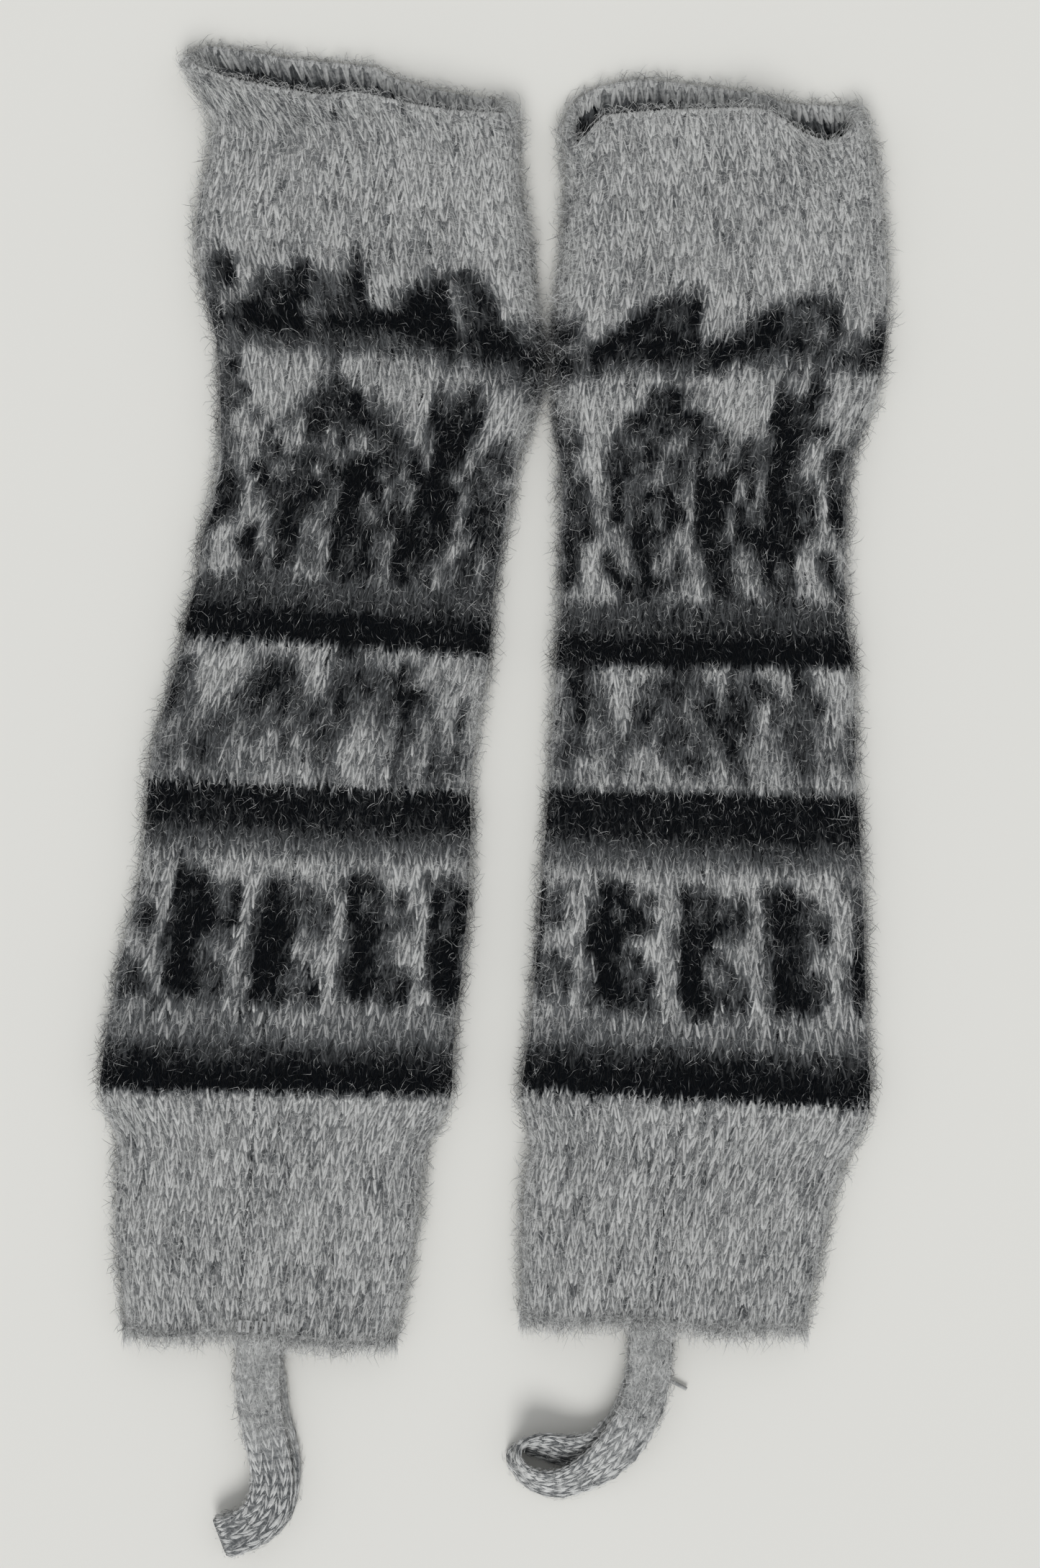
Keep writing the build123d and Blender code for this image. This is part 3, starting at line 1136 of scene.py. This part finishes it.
@dataclass(frozen=True)
class Brushing:
    """How a form's surface is brushed up into loose fibres."""

    count: int
    start: float  # first share of the way round
    end: float  # last share of the way round
    length: tuple[float, float]
    rise: tuple[float, float]  # how steeply fibres stand off, as a share of their length
    sweep: float = 0.35  # how far they turn from the run of the knit, in radians
    width: tuple[float, float] = (0.14, 0.22)
    knots: int = 3  # points along each fibre
    stray: float = 0.34  # share of the fibres that are of the other colour
    upward: float = 0.5  # share of the fibres that point back up the form

    def grow(
        self,
        form: KnitForm,
        rng: np.random.Generator,
        top: float = 0.0,
        bottom: float | None = None,
    ) -> Bundle:
        """Grows the fibres.

        Args:
            form: What they grow on.
            rng: Where their places and bends come from.
            top: First run that has them.
            bottom: Last run that has them, or the form's end.

        Returns:
            The fibres.
        """
        bottom = form.length if bottom is None else bottom
        n = self.count
        turn = rng.uniform(self.start, self.end, n)
        run = rng.uniform(top, bottom, n)
        length = self.length[0] + (self.length[1] - self.length[0]) * rng.random(n) ** 2
        rise = rng.uniform(*self.rise, n)
        heading = self.sweep * rng.standard_normal(n) + np.where(rng.random(n) < 0.5, 0.3, -0.3)
        heading = heading + np.where(rng.random(n) < self.upward, math.pi, 0)
        curl = 0.9 * rng.standard_normal(n)
        t = np.linspace(0, 1, self.knots)[None, :]
        angle = heading[:, None] + curl[:, None] * (t - 0.3)
        flat = np.sqrt(np.maximum(1 - rise**2, 0.05))[:, None]
        across = np.sin(angle) * flat * length[:, None] * t
        along = np.cos(angle) * flat * length[:, None] * t
        lift = 0.1 + rise[:, None] * length[:, None] * (t - 0.35 * t**2)
        lines = form.place(
            turn[:, None] + across / form.girth(), np.maximum(run[:, None] + along, -9.0), lift
        )
        tones = form.tone(turn, run + rng.uniform(-3, 3, n))
        other = np.where(tones < 0.5, 0.75, -0.75) * rng.random(n)
        tones = tones + np.where(rng.random(n) < self.stray, other, 0)
        tones = tones + 0.14 * rng.standard_normal(n)
        return slivers(lines, rng.uniform(*self.width, n), tones)


# ---------------------------------------------------------------- one leg warmer


@dataclass
class KnitTools:
    """What every knitted piece is made with."""

    fine: Strand
    coarse: Strand
    materials: dict[Slot, bpy.types.Material]
    fibres: bpy.types.Material


@dataclass
class LegWarmer:
    """One leg warmer: its ground, stitches, turned hem, seam, cast-off edge and loose fibres."""

    form: LegForm
    tools: KnitTools
    seam_top: float
    seam_bottom: float
    facing_edge: tuple[float, float]  # the shares of the way round that face the other leg
    nap: tuple[float, float, float] = (1.0, 1.0, 0.8)  # how thickly each third is brushed
    row: float = ROW
    facing_rows: int = 6

    @property
    def side(self) -> str:
        """The leg's name."""
        return self.form.side.value

    def piece(self, bundle: Bundle, name: str, slot: Slot, *nodes: str) -> bpy.types.Object:
        """Makes a piece of the leg and puts it on its body.

        Args:
            bundle: Its shape.
            name: Its name without the leg's.
            slot: The material slot it belongs to.
            *nodes: The frame's nodes that it stands for, without the leg's name.

        Returns:
            The piece.
        """
        loose = name.endswith("_fibres")
        finish = self.tools.fibres if loose else self.tools.materials[slot]
        piece = bundle.piece(f"{self.side}_{name}", finish)
        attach(piece, f"{self.side}_leg")
        if nodes:
            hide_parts(*(f"{self.side}_{node}" for node in nodes))
        return piece

    def build(self, floor: bpy.types.Object) -> None:
        """Makes every piece of the leg.

        Args:
            floor: What the leg lies on; not used.
        """
        rng = np.random.default_rng(self.form.seed)
        ground = self.ground()
        pieces = self.stitches(rng)
        pieces.append(self.turned_hem(rng))
        pieces.append(self.cast_off_edge(rng))
        pieces.append(self.seam(rng))
        pieces += self.loose_fibres(rng)
        self.form.girth() * MM

    def ground(self) -> bpy.types.Object:
        """The ground of the knit: a closed wall with an outer face, a rim and an inner face.

        Returns:
            The piece.
        """
        form = self.form
        outer = np.linspace(0, form.length, OUTER_ROWS)
        rim = -np.linspace(0, math.pi * RIM_RADIUS, RIM_ROWS)[1:-1]
        near = np.linspace(0, NEAR_DEPTH, NEAR_ROWS)
        far = np.linspace(NEAR_DEPTH, form.length, FAR_ROWS)[1:]
        inner = -math.pi * RIM_RADIUS - np.concatenate([near, far])
        runs = np.concatenate([inner[::-1], rim[::-1], outer])
        turn, run = np.meshgrid(np.arange(AROUND) / AROUND, runs, indexing="ij")
        points = form.place(turn, run, -GROUND_DEPTH)
        # Painted shade: the inner face darkens from the mouth down into the tube and lightens again
        # towards the foot's opening.
        depths = [0, 12, 18, 60, form.length - 20, form.length]
        painted_inside_shade = np.interp(-run, depths, [0.7, 0.6, 0.15, 0.05, 0.1, 0.6])
        # Painted shade: the outer ground, which shows between the stitches, is darkened to 0.6 of
        # the yarn's tone.
        tones = np.where(run < 0, painted_inside_shade, form.tone(turn, np.maximum(run, 0)) * 0.6)
        triangles = wall_faces(AROUND, len(runs), closed=True)
        bundle = Bundle(points.reshape(-1, 3), triangles, tones.ravel())
        return self.piece(bundle, "knit_ground", Slot.PATTERNED)

    def shade(self, columns: np.ndarray, runs: np.ndarray, rng: np.random.Generator) -> np.ndarray:
        """How light each stitch is beside its yarn: soft patches and streaks of wear.

        Args:
            columns: Column of each stitch.
            runs: Its place along the leg.
            rng: Where its unevenness comes from.

        Returns:
            The share of the yarn's lightness.
        """
        patch = cloud(columns / 5, runs / 30, self.form.seed + 11) - 0.5
        streak = cloud(columns / 1.1, runs / 26, self.form.seed + 12) - 0.5
        return 0.93 + 0.16 * patch + 0.12 * streak - 0.1 * rng.random(len(columns))

    def stitches(self, rng: np.random.Generator) -> list[bpy.types.Object]:
        """The stitches of each stretch, as one piece each.

        Args:
            rng: Where their unevenness comes from.

        Returns:
            The pieces.
        """
        form, pieces, half = self.form, [], self.form.wales // 2
        runs = row_middles(form.length, self.row)
        stretch = form.stretch_of(runs)
        front = StitchShape(width=0.135, crest=0.95, plies=2)
        back = StitchShape(width=0.22)
        for index, (name, _, _, slot) in enumerate(STRETCHES):
            bundles = []
            for shape, start in ((front, 0), (back, half)):
                column, run = grid(np.arange(start, start + half), runs[stretch == index])
                tones = self.shade(column, run, rng)
                strand = self.tools.coarse
                bundles.append(shape.stamp(form, strand, column, run, tones, self.row, rng))
            bundle = Bundle.joined(bundles)
            pieces.append(self.piece(bundle, f"{name.value}_stitches", slot, name.value))
        return pieces

    def turned_hem(self, rng: np.random.Generator) -> bpy.types.Object:
        """The stitches that roll over the mouth's rim and a little way down inside it.

        Args:
            rng: Where their unevenness comes from.

        Returns:
            The piece.
        """
        row = self.row * HEM_ROW_SHARE
        rows = -(np.arange(self.facing_rows) + 0.5) * self.row * HEM_ROW_SHARE
        column, run = grid(np.arange(self.form.wales), rows)
        # Painted shade: the hem's stitches darken the deeper they lie inside the mouth; over the
        # rim's roll they are a little lighter.
        hem_inside_shade = np.interp(-run, [0, 11, 15, 20, 40], [1.08, 1.0, 0.6, 0.2, 0.15])
        tones = self.shade(column, 0 * run, rng) * hem_inside_shade
        shape = StitchShape(width=0.17, crest=1.2, fleck=0.1, slip=0.4, plies=2)
        bundle = shape.stamp(self.form, self.tools.fine, column, run, tones, row, rng)
        return self.piece(bundle, "turned_hem", Slot.LIGHT, "hem_facing", "hem_roll")

    def cast_off_edge(self, rng: np.random.Generator) -> bpy.types.Object:
        """The chain of sideways stitches that binds the foot's edge.

        Args:
            rng: Where their unevenness comes from.

        Returns:
            The piece.
        """
        form, links = self.form, self.form.wales
        shape = StitchShape(
            apex=-0.1, spread=0.2, reach=0.42, width=0.62, crest=1.3, fleck=0.08, slip=0.15
        )
        columns = np.repeat(np.arange(links), 2)
        runs = form.length - 2.0 + 1.7 * np.tile([0.0, 1.0], links)
        tones = 0.9 + 0.1 * rng.standard_normal(len(columns))
        bundle = shape.stamp(form, self.tools.fine, columns, runs, tones, self.row, rng)
        return self.piece(bundle, "cast_off_chain", Slot.LIGHT, "cast_off_edge")

    def seam(self, rng: np.random.Generator) -> bpy.types.Object:
        """The slanted stitches that close the tube down the front, sunk into the knit.

        Args:
            rng: Where their unevenness comes from.

        Returns:
            The piece.
        """
        form = self.form
        count = int(form.length / self.row * 1.3)
        runs = np.linspace(64, form.length - 14, count)
        share = (runs - runs[0]) / (runs[-1] - runs[0])
        across = self.seam_top + (self.seam_bottom - self.seam_top) * share
        flat = FLAT_WIDTH - form.courses[USUAL_COURSE].height
        columns = ((across + flat / 2) / form.girth() + 0.04) * form.wales - 0.5
        shape = StitchShape(apex=-0.07, spread=0.14, reach=0.95, width=0.12, crest=0.62)
        tones = np.full(count, 0.5)
        bundle = shape.stamp(form, self.tools.coarse, columns, runs, tones, self.row, rng)
        return self.piece(bundle, "seam_stitches", Slot.SEWING, "seam_yarn")

    def loose_fibres(self, rng: np.random.Generator) -> list[bpy.types.Object]:
        """The brushed surface: fibres that lie on the knit and a halo round its edges.

        Args:
            rng: Where their places come from.

        Returns:
            The pieces.
        """
        form, third = self.form, self.form.length / 3
        pieces = []
        for level, name in enumerate(("upper", "middle", "lower")):
            nap = self.nap[level]
            halo = dict(length=(2.5, 7.5 + 5.5 * nap), rise=(0.3, 0.98), sweep=1.0, knots=4)
            lying = dict(length=(2.5, 7.5), rise=(0.04, 0.3), sweep=0.4 if level else 0.9)
            tuft = dict(length=(3.0, 10.0), rise=(0.4, 0.9), sweep=1.2, knots=4)
            parts = [
                Brushing(int(13600 * nap), *FRONT, **lying, stray=0.24),
                Brushing(2300, -0.03, 0.035, **halo, stray=0.5),
                Brushing(2300, 0.465, 0.53, **halo, stray=0.5),
                Brushing(int(1100 * nap), *FRONT, **tuft),
                Brushing(500, *BACK, (2.5, 6.0), (0.02, 0.1)),
            ]
            grown = [part.grow(form, rng, level * third, (level + 1) * third) for part in parts]
            if name == "upper":
                standing = dict(rise=(0.3, 0.95), knots=4)
                rim = Brushing(2250, 0.0, 1.0, (3.0, 11.0), sweep=1.1, **standing)
                grown.append(rim.grow(form, rng, -8.0, 3.0))
                fluff = Brushing(1350, *self.facing_edge, (3.0, 6.5), sweep=0.8, **standing)
                grown.append(fluff.grow(form, rng, 50.0, 140.0))
            if name == "lower":
                foot = Brushing(4200, 0.0, 1.0, (4.5, 11.0), (0.0, 0.3), sweep=0.6, upward=0.05)
                grown.append(foot.grow(form, rng, form.length - 4, form.length + 1))
            pieces.append(self.piece(Bundle.joined(grown), f"{name}_fibres", Slot.LIGHT))
        return pieces


# ---------------------------------------------------------------- one strap


@dataclass
class Strap:
    """A stirrup strap: its ground, stitches and loose fibres."""

    side: Side
    form: StrapForm
    tools: KnitTools
    row: float = 4.9
    bend: float = 5.0  # distance to either side of the foot's edge

    def build(self) -> None:
        """Makes the strap's pieces, hides the frame's strap and bakes their places into their
        meshes.
        """
        rng = np.random.default_rng(self.form.seed)
        name = self.side.value
        yarn = self.tools.materials[Slot.LIGHT]
        ground = self.ground().piece(f"{name}_strap_ground", yarn)
        stitches = self.stitches(rng).piece(f"{name}_strap_stitches", yarn)
        fibres = self.fibres(rng).piece(f"{name}_strap_fibres", self.tools.fibres)
        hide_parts(f"{name}_stirrup_strap")
        for piece in (ground, stitches, fibres):
            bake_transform(piece)

    def ground(self) -> Bundle:
        """The band under the stitches, closed at both ends.

        Returns:
            Its shape.
        """
        form, around, along = self.form, 20, 150
        runs = np.linspace(0, form.length, along)
        turn, run = np.meshgrid(np.arange(around) / around, runs, indexing="ij")
        points = form.place(turn, run, -0.7).reshape(-1, 3)
        walls = [wall_faces(around, along, closed=False)[:, ::-1]]
        ring = np.arange(around) * along
        after, end = np.roll(ring, -1), ring + along - 1
        walls.append(np.stack([np.full(around, len(points)), after, ring], -1))
        walls.append(np.stack([np.full(around, len(points) + 1), end, np.roll(end, -1)], -1))
        caps = np.stack([points[ring].mean(0), points[end].mean(0)])
        # Painted shade: the ground, which shows between the stitches, is darkened to 0.74 of the
        # strap's tone near the foot and to 0.5 round the fold in the middle.
        gap_shade = np.interp(np.abs(run / form.length - 0.5), [0.15, 0.35], [0.5, 0.74])
        tones = np.concatenate([(gap_shade * form.tone(turn, run)).ravel(), [0.7, 0.7]])
        return Bundle(np.concatenate([points, caps]), np.concatenate(walls), tones)

    def stitches(self, rng: np.random.Generator) -> Bundle:
        """The columns of stitches round and along the band.

        Args:
            rng: Where their unevenness comes from.

        Returns:
            Their shapes.
        """
        form = self.form
        column, run = grid(np.arange(form.wales), row_middles(form.length, self.row))
        tones = 1 - 0.14 * rng.random(len(run))
        shape = StitchShape(width=0.14, crest=1.2, fleck=0.13, slip=0.25, plies=2)
        return shape.stamp(form, self.tools.fine, column, run, tones, self.row, rng)

    def fibres(self, rng: np.random.Generator) -> Bundle:
        """Loose fibres, thick near the foot and thin towards the fold.

        Args:
            rng: Where their places come from.

        Returns:
            Their shapes.
        """
        form = self.form
        near = min(45.0, form.length / 3)
        lying = Brushing(1300, 0.0, 1.0, (3.0, 8.0), (0.05, 0.5), sweep=0.5)
        standing = Brushing(900, 0.0, 1.0, (2.5, 8.0), (0.3, 0.95), sweep=1.0, knots=4)
        rest = Brushing(1500, 0.0, 1.0, (2.0, 5.5), (0.05, 0.7), sweep=0.6)
        grown = [part.grow(form, rng, 0, near) for part in (lying, standing)]
        return Bundle.joined([*grown, rest.grow(form, rng, near)])


# ---------------------------------------------------------------- setting


@dataclass(frozen=True)
class Studio:
    """The pale floor, the soft light and the camera straight above the pair, in metres."""

    height: float = 1.308
    centre: tuple[float, float] = (0.0108, 0.00705)
    field_length: float = 0.6537  # how much of the floor the camera sees, at knit_height
    knit_height: float = 0.008
    sensor: float = 36.0  # in millimetres
    floor_size: float = 40.0
    lamp_place: tuple[float, float, float] = (0.3, -1.4, 2.0)
    lamp_tilt: tuple[float, float] = (38.0, -4.0)  # in degrees
    lamp_softness: float = 34.0  # in degrees
    lamp_strength: float = 1.5
    sky: tuple[float, float, float, float] = (0.97, 0.985, 1.0, 1.0)
    sky_strength: float = 0.5

    def floor(self) -> bpy.types.Object:
        """The floor that the pair lies on.

        Returns:
            The floor.
        """
        bpy.ops.object.select_all(action="DESELECT")
        bpy.ops.mesh.primitive_plane_add(size=self.floor_size, location=(0, 0, 0))
        floor = bpy.context.active_object
        floor.name = "floor"
        floor.data.materials.append(FloorFinish().build())
        return floor

    def light(self) -> None:
        """One soft, even lamp beyond the straps, and a pale sky."""
        bpy.ops.object.light_add(type="SUN", location=self.lamp_place)
        lamp = bpy.context.active_object
        lamp.data.angle = math.radians(self.lamp_softness)
        lamp.data.energy = self.lamp_strength
        lamp.rotation_euler = (*(math.radians(turn) for turn in self.lamp_tilt), 0)
        world = bpy.data.worlds.new("pale_sky")
        bpy.context.scene.world = world
        world.use_nodes = True
        background = world.node_tree.nodes["Background"]
        background.inputs["Color"].default_value = self.sky
        background.inputs["Strength"].default_value = self.sky_strength

    def camera(self) -> None:
        """A camera that looks straight down on the pair."""
        bpy.ops.object.camera_add(location=(*self.centre, self.height), rotation=(0, 0, 0))
        camera = bpy.context.active_object
        camera.data.sensor_width = self.sensor
        away = self.height - self.knit_height
        camera.data.lens = self.sensor / 2 * away / (self.field_length / 2)
        bpy.context.scene.camera = camera
        bpy.context.scene.view_settings.view_transform = "Standard"


# ---------------------------------------------------------------- the pair


LEFT_LEG = dict(
    side=Side.LEFT,
    axis_x=-AXIS_X,
    rim_y=297.0,
    courses=(
        Course(0.0, 19.0, 7.0, -8.0, 20.0),
        Course(25.0, 25.5, -5.0, -7.0, 18.0),
        Course(41.5, 24.5, 6.0, -5.0),
        Course(47.0, 30.0, -1.5, -4.0),
        Course(45.0, 25.8, -11.0, -4.0),
        Course(46.5, 17.2, -10.5, -4.5),
        Course(28.5, 13.2, -7.0, -4.0),
        Course(57.0, 2.0, 0.0, -2.4),
        Course(30.0, 1.0, 2.0, -2.0),
        Course(60.0, -8.2, 9.6, -1.5),
        Course(37.5, -12.2, 11.7, -1.0),
        Course(25.5, -13.9, -6.0, -1.5),
        Course(30.0, -16.1, -9.3, -2.0),
        Course(46.5, -18.8, -22.5, -3.0),
    ),
    rim=Rim(
        front=((-1.0, -1.0), (-0.7, -6.0), (-0.2, -8.0), (0.05, -5.0), (0.5, -7.0), (1.0, -4.0)),
        back=(
            (-1.0, 4.0),
            (-0.82, 9.0),
            (-0.34, 8.5),
            (0.12, 9.5),
            (0.3, 5.5),
            (0.6, 3.5),
            (1.0, 3.0),
        ),
    ),
    swell=Swell(middle=116.0, reach=40.0, amount=4.2),
    pattern=LEFT_PATTERN,
    seed=21,
)

RIGHT_LEG = dict(
    side=Side.RIGHT,
    axis_x=AXIS_X,
    rim_y=289.0,
    courses=(
        Course(0.0, 9.7, -8.4, 2.0, 20.0),
        Course(25.0, 12.7, -4.5, 1.5, 18.0),
        Course(53.0, 14.3, 1.5, 1.0),
        Course(34.5, 11.3, 1.5, 1.0),
        Course(49.5, 5.5, -16.2, 0.0),
        Course(48.0, 4.9, -15.6, -0.5),
        Course(24.0, 5.8, -10.2, -0.5),
        Course(51.0, 5.2, -6.0, -1.7),
        Course(33.0, 5.0, -1.5, -1.7),
        Course(61.5, 3.8, 5.7, -2.5),
        Course(34.5, 1.9, 11.4, -2.9),
        Course(24.0, -1.7, -3.0, -3.0),
        Course(27.0, -7.3, -7.5, -3.0),
        Course(42.0, -11.2, -16.5, -3.0),
    ),
    rim=Rim(
        front=(
            (-1.0, -13.0),
            (-0.92, -16.0),
            (-0.7, -5.0),
            (0.0, -4.0),
            (0.3, -5.0),
            (0.6, -16.0),
            (0.75, -19.0),
            (1.0, -10.0),
        ),
        back=(
            (-1.0, 3.0),
            (-0.7, 10.5),
            (-0.5, 12.0),
            (-0.1, 8.5),
            (0.33, 4.0),
            (0.5, 0.0),
            (1.0, -2.5),
        ),
    ),
    swell=Swell(middle=88.0, reach=34.0, amount=-2.4),
    pattern=RIGHT_PATTERN,
    seed=34,
)

LEFT_STRAP_STOPS = (
    StrapStop(0.8, 6.0, 10.0, 0),
    StrapStop(1.2, -8.0, 10.2, 0),
    StrapStop(1.8, -20.0, 10.2, 4),
    StrapStop(4.0, -33.0, 10.2, 10),
    StrapStop(7.6, -46.0, 10.2, 9),
    StrapStop(9.4, -58.0, 10.4, -4),
    StrapStop(7.0, -69.5, 10.4, -36),
    StrapStop(0.0, -77.0, 10.4, -62),
    StrapStop(-7.0, -80.4, 10.0, -66),
    StrapStop(-10.6, -81.8, 6.2, -66),
    StrapStop(-7.0, -80.8, 2.2, -66),
    StrapStop(1.5, -78.0, 2.2, -62),
    StrapStop(9.0, -70.0, 2.2, -36),
    StrapStop(11.8, -58.0, 2.2, -2),
    StrapStop(10.6, -45.0, 2.2, 12),
    StrapStop(6.4, -31.0, 2.2, 10),
    StrapStop(3.6, -18.0, 2.2, 4),
    StrapStop(1.5, -6.0, 2.2, 0),
    StrapStop(0.8, 6.0, 2.4, 0),
)

RIGHT_STRAP_STOPS = (
    StrapStop(0.8, 6.0, 10.2, 0),
    StrapStop(1.0, -10.0, 10.4, 0),
    StrapStop(0.3, -22.0, 10.6, -5),
    StrapStop(-2.5, -34.0, 11.0, -18, -3),
    StrapStop(-8.0, -45.0, 11.0, -35, -10),
    StrapStop(-16.0, -55.0, 9.6, -52, -22),
    StrapStop(-26.0, -62.5, 8.2, -70, -36),
    StrapStop(-37.0, -66.0, 8.2, -92, -45),
    StrapStop(-46.5, -63.5, 8.8, -122, -56),
    StrapStop(-52.8, -57.0, 9.6, -168, -68),
    StrapStop(-51.0, -50.5, 9.8, -105, -68),
    StrapStop(-42.0, -50.3, 8.2, -88, -45),
    StrapStop(-31.0, -52.3, 6.8, -94, -33),
    StrapStop(-20.0, -51.0, 5.6, -76, -25),
    StrapStop(-11.0, -45.0, 3.9, -50, -14),
    StrapStop(-4.0, -34.0, 2.5, -26, -3),
    StrapStop(0.3, -21.0, 2.2, -10),
    StrapStop(1.0, -8.0, 2.2, 0),
    StrapStop(1.0, 6.0, 2.4, 0),
)


def strap_origin(side: Side) -> tuple[float, float]:
    """Where a strap leaves the foot: below the middle of its joins, on the foot's lower edge."""
    low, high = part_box(f"{side.value}_strap_front_join")
    return (low.x + high.x) / 2 / MM - 0.4, low.y / MM - JOIN_INSET


def main() -> None:
    logging.basicConfig(level=logging.INFO, format="%(message)s")
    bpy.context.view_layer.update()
    studio = Studio()
    studio.camera()
    floor = studio.floor()
    studio.light()
    tools = KnitTools(
        fine=Strand(5, 4),
        coarse=Strand(4, 3),
        materials={slot: finish.build() for slot, finish in FINISHES.items()},
        fibres=FIBRE_FINISH.build(),
    )
    left, right = LegForm(**LEFT_LEG), LegForm(**RIGHT_LEG)
    LegWarmer(left, tools, 3.0, -9.0, facing_edge=(0.46, 0.535)).build(floor)
    LegWarmer(right, tools, 11.0, -7.0, facing_edge=(-0.035, 0.04)).build(floor)
    for side, stops, seed in ((Side.LEFT, LEFT_STRAP_STOPS, 5), (Side.RIGHT, RIGHT_STRAP_STOPS, 6)):
        form = StrapForm(stops=stops, origin=strap_origin(side), slope=-3.0, seed=seed)
        Strap(side, form, tools).build()
    for name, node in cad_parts.items():
        if not node.hide_render:
            node.data.materials.clear()
            node.data.materials.append(tools.materials[Slot.SEWING])
            tone = node.data.attributes.new("tone", "FLOAT", "POINT")
            tone.data.foreach_set("value", np.full(len(node.data.vertices), 0.75, np.float32))
            LOG.info("%s keeps its frame shape", name)


if __name__ == "__main__":
    main()
